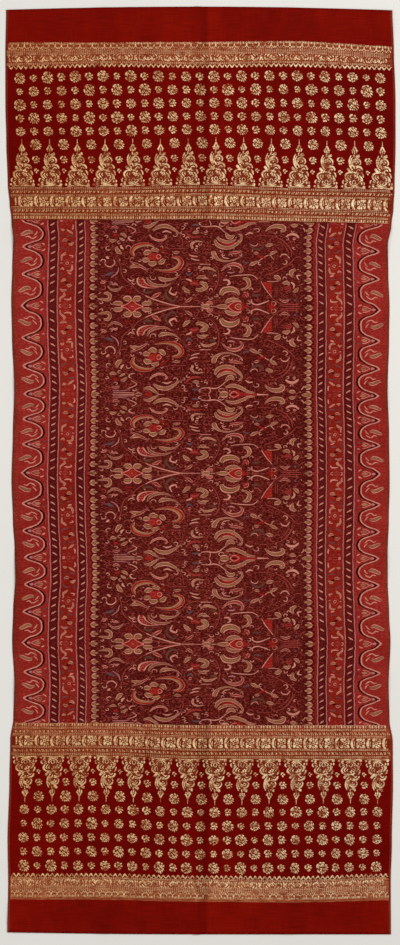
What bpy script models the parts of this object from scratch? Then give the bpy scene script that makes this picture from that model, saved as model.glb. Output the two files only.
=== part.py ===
# A woven silk shoulder cloth with a dyed field and gold weft ends, laid out face up.
# Metres, +Z up. The origin is the middle of the cloth's footprint, on the surface it lies on.
# +Y runs along the cloth towards its upper end, and +X across it, selvedge to selvedge.

from collections import namedtuple

import bmesh
import bpy

# Driving sizes
CLOTH_WIDTH = 0.844
CLOTH_LENGTH = 2.007
CLOTH_THICKNESS = 0.0010
HEM_DEPTH = 0.008
HEM_EXTRA = 0.0006
GOLD_EXTRA = 0.0002
STEP_RUN = 0.0015

# How evenly the grid is cut where nothing finer is asked for
COLUMN_PITCH = 0.048
ROW_PITCH = 0.042

SILK_COLOUR = (0.19, 0.010, 0.008, 1.0)
SILK_ROUGHNESS = 0.55

# The selvedges wander because the gold ends are stiffer than the dyed field between them.
# Each row gives how far in each selvedge lies from the cloth's widest line.
Selvedge = namedtuple("Selvedge", "from_top left_inset right_inset")
SELVEDGES = (
    Selvedge(0.000, 0.0015, 0.0070),
    Selvedge(0.090, 0.0000, 0.0035),
    Selvedge(0.200, 0.0000, 0.0000),
    Selvedge(0.290, 0.0020, 0.0000),
    Selvedge(0.380, 0.0050, 0.0020),
    Selvedge(0.425, 0.0090, 0.0045),
    Selvedge(0.462, 0.0130, 0.0090),
    Selvedge(0.505, 0.0168, 0.0168),
    Selvedge(0.570, 0.0145, 0.0155),
    Selvedge(0.640, 0.0125, 0.0130),
    Selvedge(0.710, 0.0140, 0.0140),
    Selvedge(0.830, 0.0190, 0.0172),
    Selvedge(0.920, 0.0160, 0.0140),
    Selvedge(1.025, 0.0130, 0.0128),
    Selvedge(1.110, 0.0160, 0.0145),
    Selvedge(1.180, 0.0200, 0.0172),
    Selvedge(1.240, 0.0212, 0.0170),
    Selvedge(1.310, 0.0165, 0.0140),
    Selvedge(1.375, 0.0145, 0.0110),
    Selvedge(1.470, 0.0192, 0.0150),
    Selvedge(1.545, 0.0170, 0.0130),
    Selvedge(1.590, 0.0105, 0.0060),
    Selvedge(1.680, 0.0085, 0.0055),
    Selvedge(1.810, 0.0045, 0.0080),
    Selvedge(1.900, 0.0060, 0.0105),
    Selvedge(2.007, 0.0040, 0.0100),
)

# The weft lines bow: each row gives how far the two ends of a weft line lie below its middle.
Bow = namedtuple("Bow", "from_top left_drop right_drop")
BOWS = (
    Bow(0.000, 0.0068, 0.0080),
    Bow(0.072, 0.0056, 0.0100),
    Bow(0.460, -0.0030, 0.0108),
    Bow(1.000, -0.0012, 0.0020),
    Bow(1.555, -0.0052, -0.0018),
    Bow(1.930, -0.0055, -0.0018),
    Bow(2.007, -0.0045, 0.0000),
)

# Soft ridges left by folding the cloth lengthways, given from the middle line.
Crease = namedtuple("Crease", "across height half_width")
CREASES = (
    Crease(-0.006, 0.0022, 0.013),
    Crease(-0.214, 0.0010, 0.026),
    Crease(0.196, 0.0008, 0.030),
)

# Shallow lifts where a selvedge stands off the surface. side is -1 at the left and 1 at the right.
Lift = namedtuple("Lift", "side from_top height half_length reach")
LIFTS = (
    Lift(-1, 0.500, 0.0034, 0.052, 0.070),
    Lift(1, 0.495, 0.0040, 0.056, 0.085),
    Lift(-1, 0.825, 0.0026, 0.060, 0.060),
    Lift(1, 0.840, 0.0022, 0.060, 0.055),
    Lift(-1, 1.225, 0.0032, 0.070, 0.070),
    Lift(1, 1.200, 0.0024, 0.064, 0.060),
    Lift(-1, 1.480, 0.0028, 0.050, 0.065),
    Lift(1, 1.470, 0.0024, 0.050, 0.060),
    Lift(1, 0.030, 0.0022, 0.050, 0.080),
    Lift(-1, 1.975, 0.0020, 0.050, 0.080),
)

# The two gold weft bands at each end stand a little proud of the plain silk.
Band = namedtuple("Band", "start end")
GOLD_BANDS = (
    Band(0.072, 0.131),
    Band(0.389, 0.459),
    Band(1.554, 1.620),
    Band(1.878, 1.928),
)


def along_rows(rows, name, from_top):
    """The named column of a table, eased between the rows on either side of from_top."""
    if from_top <= rows[0].from_top:
        return getattr(rows[0], name)
    for row, after in zip(rows, rows[1:]):
        if from_top <= after.from_top:
            share = (from_top - row.from_top) / (after.from_top - row.from_top)
            eased = share * share * (3 - 2 * share)
            return getattr(row, name) * (1 - eased) + getattr(after, name) * eased
    return getattr(rows[-1], name)


def hump(distance, half_width):
    """A smooth bell that is 1 at no distance and 0 from half_width on."""
    share = min(1.0, abs(distance) / half_width)
    return (1 - share * share) ** 2


def place(across, from_top):
    """Where a point of the flat weave lies. across is from -1 at the left selvedge to 1."""
    left = -CLOTH_WIDTH / 2 + along_rows(SELVEDGES, "left_inset", from_top)
    right = CLOTH_WIDTH / 2 - along_rows(SELVEDGES, "right_inset", from_top)
    x = left + (right - left) * (across + 1) / 2
    side = "left_drop" if across < 0 else "right_drop"
    y = CLOTH_LENGTH / 2 - from_top - along_rows(BOWS, side, from_top) * across**2
    return x, y


def lift_of(across, from_top):
    """How far the cloth's underside stands off the surface that it lies on."""
    x = across * CLOTH_WIDTH / 2
    height = sum(c.height * hump(x - c.across, c.half_width) for c in CREASES)
    for lift in LIFTS:
        inwards = CLOTH_WIDTH / 2 - lift.side * x
        along = hump(from_top - lift.from_top, lift.half_length)
        height += lift.height * along * hump(inwards, lift.reach)
    return height


def thickness_of(from_top):
    """The weave's thickness, which the turned hems and the gold bands add to."""
    to_end = min(from_top, CLOTH_LENGTH - from_top)
    if to_end <= HEM_DEPTH:
        return CLOTH_THICKNESS + HEM_EXTRA
    if any(band.start <= from_top <= band.end for band in GOLD_BANDS):
        return CLOTH_THICKNESS + GOLD_EXTRA
    return CLOTH_THICKNESS


def filled(stops, pitch):
    """The stops in order, with even steps no longer than pitch put between them."""
    stops = sorted(stops)
    found = []
    for start, end in zip(stops, stops[1:]):
        steps = max(1, round((end - start) / pitch))
        found += [start + (end - start) * step / steps for step in range(steps)]
    return found + [stops[-1]]


def column_stops():
    """Where the grid's columns lie: the selvedges, and the flanks of the middle crease."""
    half = CLOTH_WIDTH / 2
    middle = CREASES[0]
    flanks = [middle.across + middle.half_width * share for share in (-1, -0.55, 0, 0.55, 1)]
    return [x / half for x in filled([-half, -half + 0.030, half - 0.030, half, *flanks], COLUMN_PITCH)]


def row_stops():
    """Where the grid's rows lie: both ends, and both sides of each hem and gold band step."""
    stops = [0.0, HEM_DEPTH, HEM_DEPTH + STEP_RUN]
    stops += [CLOTH_LENGTH - stop for stop in stops]
    for band in GOLD_BANDS:
        stops += [band.start - STEP_RUN, band.start, band.end, band.end + STEP_RUN]
    return filled(stops, ROW_PITCH)


def make_sheet(name):
    """The whole cloth as one closed body: a face, an underside, and the edge between them."""
    columns, rows = column_stops(), row_stops()
    shape = bmesh.new()
    face, under = [], []
    for from_top in rows:
        upper, lower = [], []
        for across in columns:
            x, y = place(across, from_top)
            z = lift_of(across, from_top)
            lower.append(shape.verts.new((x, y, z)))
            upper.append(shape.verts.new((x, y, z + thickness_of(from_top))))
        face.append(upper)
        under.append(lower)
    last_row, last_column = len(rows) - 1, len(columns) - 1
    for r in range(last_row):
        for c in range(last_column):
            shape.faces.new((face[r][c], face[r + 1][c], face[r + 1][c + 1], face[r][c + 1]))
            shape.faces.new((under[r][c], under[r][c + 1], under[r + 1][c + 1], under[r + 1][c]))
    for r in range(last_row):
        for c in (0, last_column):
            shape.faces.new((face[r][c], under[r][c], under[r + 1][c], face[r + 1][c]))
    for c in range(last_column):
        for r in (0, last_row):
            shape.faces.new((face[r][c], face[r][c + 1], under[r][c + 1], under[r][c]))
    bmesh.ops.recalc_face_normals(shape, faces=shape.faces)
    mesh = bpy.data.meshes.new(name)
    shape.to_mesh(mesh)
    shape.free()
    mesh.shade_smooth()
    return mesh


def centre_on_footprint(mesh):
    """Moves the points so that the middle of their box lies over the origin, on z = 0."""
    lows = [min(v.co[axis] for v in mesh.vertices) for axis in range(3)]
    highs = [max(v.co[axis] for v in mesh.vertices) for axis in range(3)]
    for v in mesh.vertices:
        v.co.x -= (lows[0] + highs[0]) / 2
        v.co.y -= (lows[1] + highs[1]) / 2
        v.co.z -= lows[2]


def silk_material():
    """Red silk, as the plain ends show it."""
    material = bpy.data.materials.new("red_silk")
    material.use_nodes = True
    shader = material.node_tree.nodes["Principled BSDF"]
    shader.inputs["Base Color"].default_value = SILK_COLOUR
    shader.inputs["Roughness"].default_value = SILK_ROUGHNESS
    shader.inputs["Metallic"].default_value = 0.0
    return material


def main():
    for old in list(bpy.data.objects):
        bpy.data.objects.remove(old)
    mesh = make_sheet("ikat_cloth")
    centre_on_footprint(mesh)
    cloth = bpy.data.objects.new("ikat_cloth", mesh)
    cloth.data.materials.append(silk_material())
    bpy.context.scene.collection.objects.link(cloth)


main()
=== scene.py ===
# Looks of a woven silk shoulder cloth with a dyed field and gold weft ends, laid out face up.
# Metres, +Z up. +Y runs along the cloth towards its upper end, and +X across it.
# The pattern is drafted on squared paper: 390 squares from selvedge to selvedge, numbered from 5.

import math
import random
from collections import namedtuple

import bmesh
import bpy
import numpy as np
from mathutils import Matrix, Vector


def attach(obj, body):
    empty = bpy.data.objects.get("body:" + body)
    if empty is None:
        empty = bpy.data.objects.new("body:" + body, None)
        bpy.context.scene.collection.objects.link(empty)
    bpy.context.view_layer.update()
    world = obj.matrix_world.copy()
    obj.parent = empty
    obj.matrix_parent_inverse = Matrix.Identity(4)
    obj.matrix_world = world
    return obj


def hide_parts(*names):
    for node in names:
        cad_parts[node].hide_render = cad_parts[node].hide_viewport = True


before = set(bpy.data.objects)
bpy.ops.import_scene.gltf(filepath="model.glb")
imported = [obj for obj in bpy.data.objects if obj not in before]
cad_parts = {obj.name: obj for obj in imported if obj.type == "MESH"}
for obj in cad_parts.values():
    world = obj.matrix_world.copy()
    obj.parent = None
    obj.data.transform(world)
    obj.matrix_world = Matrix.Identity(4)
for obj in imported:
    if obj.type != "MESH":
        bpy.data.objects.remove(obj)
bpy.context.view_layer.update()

bl_info = {
    "name": "Ikat Cloth",
    "version": (1, 0, 0),
    "blender": (4, 5, 0),
    "location": "3D View > Sidebar > Ikat Cloth",
    "description": "Weaves, dyes and brocades a silk shoulder cloth around its packed solid",
    "category": "Object",
}

# The cloth's own sizes, as in the solid
CLOTH_WIDTH = 0.844
CLOTH_LENGTH = 2.007
CLOTH_THICKNESS = 0.0010
HEM_DEPTH = 0.008
HEM_EXTRA = 0.0006
GOLD_EXTRA = 0.0002
STEP_RUN = 0.0015

# The draft's squares
SQUARE = CLOTH_WIDTH / 390
CHART_MIDDLE = 200.5
CHART_TOP = 6.6
CHART_ROWS = CLOTH_LENGTH / SQUARE
DYED_HALF_WIDTH = 0.4068
DYED_START = 219.2
DYED_END = 725.6

# The ties were made on the folded weft, so the dyed pattern turns back at each of these rows.
TURNS = (220.0, 306.4, 394.3, 473.0, 558.0, 644.0, 725.5)
HALF_REPEAT = 86.4

# Thread heights over the cloth's face
GOLD_TOP = 0.00034
GOLD_FOOT = -0.00012
WORN_TOP = 0.00012
DYE_FOOT = -0.00003
CORE_RISE = 0.00005
DYE_TOPS = {
    "dusk": 0.00004,
    "rose": 0.00006,
    "moss": 0.00006,
    "slate": 0.00006,
    "mauve": 0.00007,
    "dark": 0.00008,
    "cream": 0.00010,
    "red": 0.00012,
    "olive": 0.00012,
}
CURVE_STEP = 1.3
WIDE_SHARES = (-0.5, -0.34, 0.34, 0.5)
NARROW_SHARES = (-0.5, 0.0, 0.5)
NARROW_LIMIT = 1.3
PATCH_RIM = 0.2
PATCH_REACH = 0.8
SMALLEST_FACE = 1e-12

Selvedge = namedtuple("Selvedge", "from_top left_inset right_inset")
SELVEDGES = (
    Selvedge(0.000, 0.0015, 0.0070),
    Selvedge(0.090, 0.0000, 0.0035),
    Selvedge(0.200, 0.0000, 0.0000),
    Selvedge(0.290, 0.0020, 0.0000),
    Selvedge(0.380, 0.0050, 0.0020),
    Selvedge(0.425, 0.0090, 0.0045),
    Selvedge(0.462, 0.0130, 0.0090),
    Selvedge(0.505, 0.0168, 0.0168),
    Selvedge(0.570, 0.0145, 0.0155),
    Selvedge(0.640, 0.0125, 0.0130),
    Selvedge(0.710, 0.0140, 0.0140),
    Selvedge(0.830, 0.0190, 0.0172),
    Selvedge(0.920, 0.0160, 0.0140),
    Selvedge(1.025, 0.0130, 0.0128),
    Selvedge(1.110, 0.0160, 0.0145),
    Selvedge(1.180, 0.0200, 0.0172),
    Selvedge(1.240, 0.0212, 0.0170),
    Selvedge(1.310, 0.0165, 0.0140),
    Selvedge(1.375, 0.0145, 0.0110),
    Selvedge(1.470, 0.0192, 0.0150),
    Selvedge(1.545, 0.0170, 0.0130),
    Selvedge(1.590, 0.0105, 0.0060),
    Selvedge(1.680, 0.0085, 0.0055),
    Selvedge(1.810, 0.0045, 0.0080),
    Selvedge(1.900, 0.0060, 0.0105),
    Selvedge(2.007, 0.0040, 0.0100),
)

Bow = namedtuple("Bow", "from_top left_drop right_drop")
BOWS = (
    Bow(0.000, 0.0068, 0.0080),
    Bow(0.072, 0.0056, 0.0100),
    Bow(0.460, -0.0030, 0.0108),
    Bow(1.000, -0.0012, 0.0020),
    Bow(1.555, -0.0052, -0.0018),
    Bow(1.930, -0.0055, -0.0018),
    Bow(2.007, -0.0045, 0.0000),
)

# How far a weft line sags below its bow, in squares, at four places across. Its middle stays.
Sag = namedtuple("Sag", "from_top left mid_left mid_right right")
SAGS = (
    Sag(0.000, 0.0, 0.0, 0.0, 0.0),
    Sag(0.077, -1.9, -0.2, -1.9, 0.0),
    Sag(0.128, -0.9, -1.6, -2.2, -1.8),
    Sag(0.149, 0.3, -0.8, -1.7, -2.4),
    Sag(0.264, 1.7, 1.7, 0.2, -0.4),
    Sag(0.386, 2.4, 1.85, 1.65, 0.0),
    Sag(0.462, 1.0, 0.5, 1.0, 0.0),
    Sag(0.560, 0.0, 0.0, 0.0, 0.0),
    Sag(1.500, 0.0, 0.0, 0.0, 0.0),
    Sag(1.555, 0.0, -1.4, 0.4, 1.0),
    Sag(1.628, -1.2, -2.8, 0.3, 0.9),
    Sag(1.862, -0.7, -2.2, -0.4, -0.6),
    Sag(1.882, 0.0, -1.5, 1.1, -1.2),
    Sag(1.930, 0.0, -1.4, 1.0, -0.5),
    Sag(2.007, 0.0, 0.0, 0.0, 0.0),
)
SAG_PLACES = (("left", -1.0), ("mid_left", -0.5), ("mid_right", 0.5), ("right", 1.0))
SAG_REACH = 0.5

Crease = namedtuple("Crease", "across height half_width")
CREASES = (
    Crease(-0.006, 0.0022, 0.013),
    Crease(-0.214, 0.0010, 0.026),
    Crease(0.196, 0.0008, 0.030),
)

Lift = namedtuple("Lift", "side from_top height half_length reach")
LIFTS = (
    Lift(-1, 0.500, 0.0034, 0.052, 0.070),
    Lift(1, 0.495, 0.0040, 0.056, 0.085),
    Lift(-1, 0.825, 0.0026, 0.060, 0.060),
    Lift(1, 0.840, 0.0022, 0.060, 0.055),
    Lift(-1, 1.225, 0.0032, 0.070, 0.070),
    Lift(1, 1.200, 0.0024, 0.064, 0.060),
    Lift(-1, 1.480, 0.0028, 0.050, 0.065),
    Lift(1, 1.470, 0.0024, 0.050, 0.060),
    Lift(1, 0.030, 0.0022, 0.050, 0.080),
    Lift(-1, 1.975, 0.0020, 0.050, 0.080),
)

Band = namedtuple("Band", "start end")
GOLD_BANDS = (
    Band(0.072, 0.131),
    Band(0.389, 0.459),
    Band(1.554, 1.620),
    Band(1.878, 1.928),
)

# Shallow ripples that only the looks have, in metres
Ripple = namedtuple("Ripple", "height along across phase")
RIPPLES = (
    Ripple(0.00022, 0.31, 0.52, 0.4),
    Ripple(0.00016, 0.13, -0.36, 1.9),
    Ripple(0.00012, 0.90, 0.085, 0.7),
)


def paint(red, green, blue):
    """The linear colour of an ordinary screen colour."""
    shares = (value / 255 for value in (red, green, blue))
    return tuple(((s + 0.055) / 1.055) ** 2.4 if s > 0.04045 else s / 12.92 for s in shares)


DYE_COLOURS = {
    "cream": paint(210, 140, 120),
    "olive": paint(146, 106, 62),
    "red": paint(154, 30, 22),
    "rose": paint(160, 66, 58),
    "dusk": paint(112, 26, 28),
    "moss": paint(96, 60, 46),
    "slate": paint(98, 72, 76),
    "mauve": paint(182, 118, 116),
    "dark": paint(48, 4, 8),
}


# The cloth's surface


def along_rows(rows, name, from_top):
    """The named column of a table, eased between the rows on either side of from_top."""
    stops = np.array([row.from_top for row in rows])
    values = np.array([getattr(row, name) for row in rows])
    from_top = np.clip(from_top, stops[0], stops[-1])
    after = np.clip(np.searchsorted(stops, from_top), 1, len(rows) - 1)
    share = (from_top - stops[after - 1]) / (stops[after] - stops[after - 1])
    eased = share * share * (3 - 2 * share)
    return values[after - 1] * (1 - eased) + values[after] * eased


def hump(distance, half_width):
    """A smooth bell that is 1 at no distance and 0 from half_width on."""
    share = np.minimum(1.0, np.abs(distance) / half_width)
    return (1 - share * share) ** 2


def lift_of(across, from_top):
    """How far the cloth's underside stands off the surface that it lies on."""
    x = across * CLOTH_WIDTH / 2
    height = sum(c.height * hump(x - c.across, c.half_width) for c in CREASES)
    for lift in LIFTS:
        inwards = CLOTH_WIDTH / 2 - lift.side * x
        along = hump(from_top - lift.from_top, lift.half_length)
        height = height + lift.height * along * hump(inwards, lift.reach)
    for ripple in RIPPLES:
        turn = from_top / ripple.along + x / ripple.across
        height = height + ripple.height * np.sin(2 * math.pi * turn + ripple.phase) ** 2
    return height


def thickness_of(from_top):
    """The weave's thickness, with ramps up to the turned hems and the gold bands."""
    thickness = np.full_like(from_top, CLOTH_THICKNESS)
    to_end = np.minimum(from_top, CLOTH_LENGTH - from_top)
    thickness += HEM_EXTRA * np.clip((HEM_DEPTH + STEP_RUN - to_end) / STEP_RUN, 0, 1)
    for band in GOLD_BANDS:
        inside = np.minimum(from_top - band.start, band.end - from_top)
        thickness += GOLD_EXTRA * np.clip(1 + inside / STEP_RUN, 0, 1)
    return thickness


def sag_of(across, from_top):
    """How far the weft line sags there, eased from each place across to the next."""
    drop = np.zeros_like(from_top)
    for name, place in SAG_PLACES:
        near = np.clip(np.abs(across - place) / SAG_REACH, 0, 1)
        drop += along_rows(SAGS, name, from_top) * (1 + np.cos(math.pi * near)) / 2
    return drop * SQUARE


def on_cloth(across, from_top, height):
    """Points at a height over the cloth's face. across is from -1 at the left selvedge to 1."""
    left = -CLOTH_WIDTH / 2 + along_rows(SELVEDGES, "left_inset", from_top)
    right = CLOTH_WIDTH / 2 - along_rows(SELVEDGES, "right_inset", from_top)
    left_drop = along_rows(BOWS, "left_drop", from_top)
    right_drop = along_rows(BOWS, "right_drop", from_top)
    x = left + (right - left) * (across + 1) / 2
    y = CLOTH_LENGTH / 2 - from_top - np.where(across < 0, left_drop, right_drop) * across**2
    y -= sag_of(across, from_top)
    z = lift_of(across, from_top) + thickness_of(from_top) + height
    return np.stack([x, y, z], axis=1)


def gold_on_cloth(chart):
    """Draft points of the gold ends, laid on the cloth."""
    across = (chart[:, 0] - CHART_MIDDLE) * SQUARE / (CLOTH_WIDTH / 2)
    return on_cloth(across, (chart[:, 1] - CHART_TOP) * SQUARE, chart[:, 2])


def dye_on_cloth(chart):
    """Draft points of the dyed pattern, pulled to where its turns lie and feathered as ikat is."""
    settings = bpy.context.scene.ikat_dyes
    turns = np.arange(len(TURNS)) * HALF_REPEAT
    rows = np.clip(np.interp(chart[:, 1], turns, TURNS), DYED_START, DYED_END)
    picks = np.floor(rows / settings.feather_pitch).astype(int)
    slips = np.random.default_rng(settings.seed).uniform(-1, 1, picks.max() + 2)
    columns = chart[:, 0] + slips[picks] * settings.feather
    across = (columns - CHART_MIDDLE) * SQUARE / DYED_HALF_WIDTH
    return on_cloth(across, (rows - CHART_TOP) * SQUARE, chart[:, 2])


# Drafting


def smooth_path(path, widths):
    """A curve through the path's points, with its width eased from one given width to the next."""
    points = np.array(path, float)
    shares = np.linspace(0, len(points) - 1, len(widths))
    spans = len(points) - 1
    padded = np.vstack([2 * points[0] - points[1], points, 2 * points[-1] - points[-2]])
    found = []
    for k in range(spans):
        before, start, end, after = padded[k : k + 4]
        steps = max(2, math.ceil(math.dist(start, end) / CURVE_STEP))
        for t in np.arange(steps) / steps:
            curve = (
                2 * start
                + (end - before) * t
                + (2 * before - 5 * start + 4 * end - after) * t**2
                + (3 * start - before - 3 * end + after) * t**3
            ) / 2
            found.append((*curve, k + t))
    found.append((*points[-1], spans))
    found = np.array(found)
    return found[:, :2], np.interp(found[:, 2], shares, widths)


class Draft:
    """Threads drawn on the chart, as low ridges whose edges dip into the cloth."""

    def __init__(self):
        self.points = []
        self.faces = []
        self.places = []

    def strip(self, rings):
        """Joins rings of points into one ribbon of faces."""
        start, wide = len(self.points), len(rings[0])
        for ring in rings:
            self.points.extend(ring)
        for r in range(len(rings) - 1):
            for k in range(wide - 1):
                corner = start + r * wide + k
                self.faces.append((corner, corner + 1, corner + wide + 1, corner + wide))

    def stroke(self, path, widths, top, foot, shift=0.0):
        """A line through the path. shift moves it sideways by that share of its width."""
        line, wides = smooth_path(path, widths)
        runs = np.gradient(line, axis=0)
        runs /= np.maximum(np.linalg.norm(runs, axis=1, keepdims=True), 1e-9)
        normals = np.stack([-runs[:, 1], runs[:, 0]], axis=1)
        shares = NARROW_SHARES if max(widths) < NARROW_LIMIT else WIDE_SHARES
        rings = []
        for k, (centre, normal, wide) in enumerate(zip(line, normals, wides)):
            at_end = k in (0, len(line) - 1)
            ring = []
            for share in shares:
                x, y = centre + normal * wide * (share + shift)
                low = at_end or abs(share) == 0.5
                ring.append((float(x), float(y), foot if low else top))
            rings.append(ring)
        self.strip(rings)
        self.places += [(float(x), float(y), float(w) / 2) for (x, y), w in zip(line, wides)]

    def dot(self, centre, radius, top, foot, sides=7):
        """A round spot."""
        turns = [2 * math.pi * k / sides for k in range(sides)]
        outer = [(centre[0] + radius * math.cos(a), centre[1] + radius * math.sin(a)) for a in turns]
        self.patch(outer, top, foot)

    def patch(self, outline, top, foot):
        """A filled shape, flat but for its sunken rim."""
        middle = np.mean(outline, axis=0)
        start, sides = len(self.points), len(outline)
        for x, y in outline:
            self.points.append((x, y, foot))
        for x, y in outline:
            inner_x, inner_y = x + (middle[0] - x) * PATCH_RIM, y + (middle[1] - y) * PATCH_RIM
            self.points.append((inner_x, inner_y, top))
        self.points.append((float(middle[0]), float(middle[1]), top))
        for k in range(sides):
            after = (k + 1) % sides
            inner = start + sides
            self.faces.append((start + k, start + after, inner + after, inner + k))
            self.faces.append((inner + k, inner + after, start + 2 * sides))
        reach = max(math.dist(middle, point) for point in outline)
        self.places.append((float(middle[0]), float(middle[1]), reach * PATCH_REACH))

    def add(self, other, mirror_sum=None):
        """Takes in another draft, mirrored from side to side if a sum of columns is given."""
        start = len(self.points)
        if mirror_sum is None:
            self.points += other.points
        else:
            self.points += [(mirror_sum - x, y, z) for x, y, z in other.points]
        self.faces += [tuple(start + corner for corner in face) for face in other.faces]

    def mesh(self, name):
        """The draft as a flat mesh, still in squares."""
        made = bpy.data.meshes.new(name)
        made.from_pydata(self.points, [], self.faces)
        return made


# The repeat, made with Geometry Nodes

REPEAT_INPUTS = (
    ("Columns", "NodeSocketInt", 1),
    ("Rows", "NodeSocketInt", 1),
    ("First Column", "NodeSocketFloat", 0.0),
    ("First Row", "NodeSocketFloat", 0.0),
    ("Column Pitch", "NodeSocketFloat", 1.0),
    ("Row Pitch", "NodeSocketFloat", 1.0),
    ("Upside Down", "NodeSocketFloat", 0.0),
    ("Turn Back", "NodeSocketFloat", 0.0),
    ("Alternate", "NodeSocketFloat", 0.0),
    ("Parity", "NodeSocketFloat", 0.0),
    ("Uneven", "NodeSocketFloat", 0.0),
    ("Tilt", "NodeSocketFloat", 0.0),
    ("Stretch", "NodeSocketFloat", 1.0),
    ("Seed", "NodeSocketInt", 3),
    ("Material", "NodeSocketMaterial", None),
)


class Tree:
    """Short calls that add nodes to one node tree and link them."""

    def __init__(self, tree):
        self.nodes = tree.nodes
        self.links = tree.links

    def node(self, kind, *values, **options):
        """A node of this kind. Values go to its inputs in order, and None leaves one alone."""
        made = self.nodes.new(kind)
        for name, value in options.items():
            setattr(made, name, value)
        for socket, value in zip(made.inputs, values):
            self.put(socket, value)
        return made

    def put(self, socket, value):
        """Links or sets one input."""
        if isinstance(value, bpy.types.NodeSocket):
            self.links.new(value, socket)
        elif value is not None:
            socket.default_value = value

    def maths(self, operation, *values):
        """The result of one sum."""
        return self.node("ShaderNodeMath", *values, operation=operation).outputs[0]

    def mix(self, share, first, second, blend="MIX"):
        """Two colours mixed."""
        made = self.nodes.new("ShaderNodeMix")
        made.data_type = "RGBA"
        made.blend_type = blend
        self.put(made.inputs["Factor"], share)
        self.put(made.inputs["A"], first)
        self.put(made.inputs["B"], second)
        return made.outputs["Result"]

    def ramp(self, share, stops, interpolation="LINEAR"):
        """A colour ramp with the given (place, colour) stops."""
        made = self.nodes.new("ShaderNodeValToRGB")
        made.color_ramp.interpolation = interpolation
        elements = made.color_ramp.elements
        while len(elements) < len(stops):
            elements.new(0.5)
        for element, (place, colour) in zip(elements, sorted(stops, key=lambda stop: stop[0])):
            element.position = place
            element.color = colour
        self.put(made.inputs[0], share)
        return made.outputs["Color"]

    def noise(self, vector, scale, detail=2.0):
        """Smooth noise from 0 to 1."""
        made = self.nodes.new("ShaderNodeTexNoise")
        self.put(made.inputs["Vector"], vector)
        self.put(made.inputs["Scale"], scale)
        self.put(made.inputs["Detail"], detail)
        return made.outputs["Fac"]

    def grain(self, point, scale, detail=3.0):
        """Noise with its own scale each way."""
        vector = self.node("ShaderNodeVectorMath", point, scale, operation="MULTIPLY").outputs[0]
        return self.noise(vector, 1.0, detail)

    def toned(self, colour, share, tones):
        """The colour multiplied by the tone at that share."""
        return self.mix(1.0, colour, self.ramp(share, opaque(tones)), "MULTIPLY")


def opaque(stops):
    """The stops of a ramp, each colour with full cover."""
    return [(place, (*colour, 1)) for place, colour in stops]


def repeat_tree():
    """Sets a motif out in columns and rows of the chart."""
    tree = bpy.data.node_groups.new("Repeat the motif", "GeometryNodeTree")
    tree.is_modifier = True
    sockets = tree.interface
    sockets.new_socket("Geometry", in_out="INPUT", socket_type="NodeSocketGeometry")
    for name, kind, value in REPEAT_INPUTS:
        socket = sockets.new_socket(name, in_out="INPUT", socket_type=kind)
        if value is not None:
            socket.default_value = value
    sockets.new_socket("Geometry", in_out="OUTPUT", socket_type="NodeSocketGeometry")
    build = Tree(tree)
    given = build.node("NodeGroupInput").outputs
    index = build.node("GeometryNodeInputIndex").outputs[0]
    row = build.maths("FLOOR", build.maths("DIVIDE", build.maths("ADD", index, 0.5), given["Columns"]))
    column = build.maths("SUBTRACT", index, build.maths("MULTIPLY", row, given["Columns"]))
    odd_row = build.maths("FLOORED_MODULO", row, 2.0)
    turned = build.maths("MULTIPLY", odd_row, given["Turn Back"])
    place_across = build.maths("MULTIPLY_ADD", column, given["Column Pitch"], given["First Column"])
    stepped = build.maths("ADD", row, turned)
    place_along = build.maths("MULTIPLY_ADD", stepped, given["Row Pitch"], given["First Row"])
    place = build.node("ShaderNodeCombineXYZ", place_across, place_along, 0.0).outputs[0]
    checker = build.maths("FLOORED_MODULO", build.maths("ADD", row, column), 2.0)
    off_parity = build.maths("ABSOLUTE", build.maths("SUBTRACT", checker, given["Parity"]))
    wanted = build.maths("LESS_THAN", build.maths("MULTIPLY", off_parity, given["Alternate"]), 0.5)
    count = build.maths("MULTIPLY", given["Columns"], given["Rows"])
    points = build.node("GeometryNodePoints", count, place).outputs[0]
    sizes = chance(build, given["Uneven"], given["Seed"], 0)
    tilts = chance(build, given["Tilt"], given["Seed"], 1)
    flips = build.maths("MULTIPLY", turned, -2.0)
    upside = build.maths("MULTIPLY_ADD", given["Upside Down"], -2.0, 1.0)
    along = build.maths("MULTIPLY", build.maths("ADD", flips, 1.0), upside)
    along = build.maths("MULTIPLY", along, given["Stretch"])
    grown = build.maths("ADD", sizes, 1.0)
    scale = build.node("ShaderNodeCombineXYZ", grown, build.maths("MULTIPLY", grown, along), 1.0)
    tilt = build.node("ShaderNodeCombineXYZ", 0.0, 0.0, tilts)
    spread = build.node("GeometryNodeInstanceOnPoints")
    build.put(spread.inputs["Points"], points)
    build.put(spread.inputs["Selection"], wanted)
    build.put(spread.inputs["Instance"], given["Geometry"])
    build.put(spread.inputs["Rotation"], tilt.outputs[0])
    build.put(spread.inputs["Scale"], scale.outputs[0])
    real = build.node("GeometryNodeRealizeInstances", spread.outputs[0]).outputs[0]
    dressed = build.node("GeometryNodeSetMaterial")
    build.put(dressed.inputs["Geometry"], real)
    build.put(dressed.inputs["Material"], given["Material"])
    build.node("NodeGroupOutput", dressed.outputs[0])
    return tree


def chance(build, reach, seed, offset):
    """A seeded number from -reach to reach for each instance."""
    random_value = build.node("FunctionNodeRandomValue", data_type="FLOAT")
    low = build.maths("MULTIPLY", reach, -1.0)
    build.put(random_value.inputs[2], low)
    build.put(random_value.inputs[3], reach)
    build.put(random_value.inputs["Seed"], build.maths("ADD", seed, float(offset)))
    return random_value.outputs[1]


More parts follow.
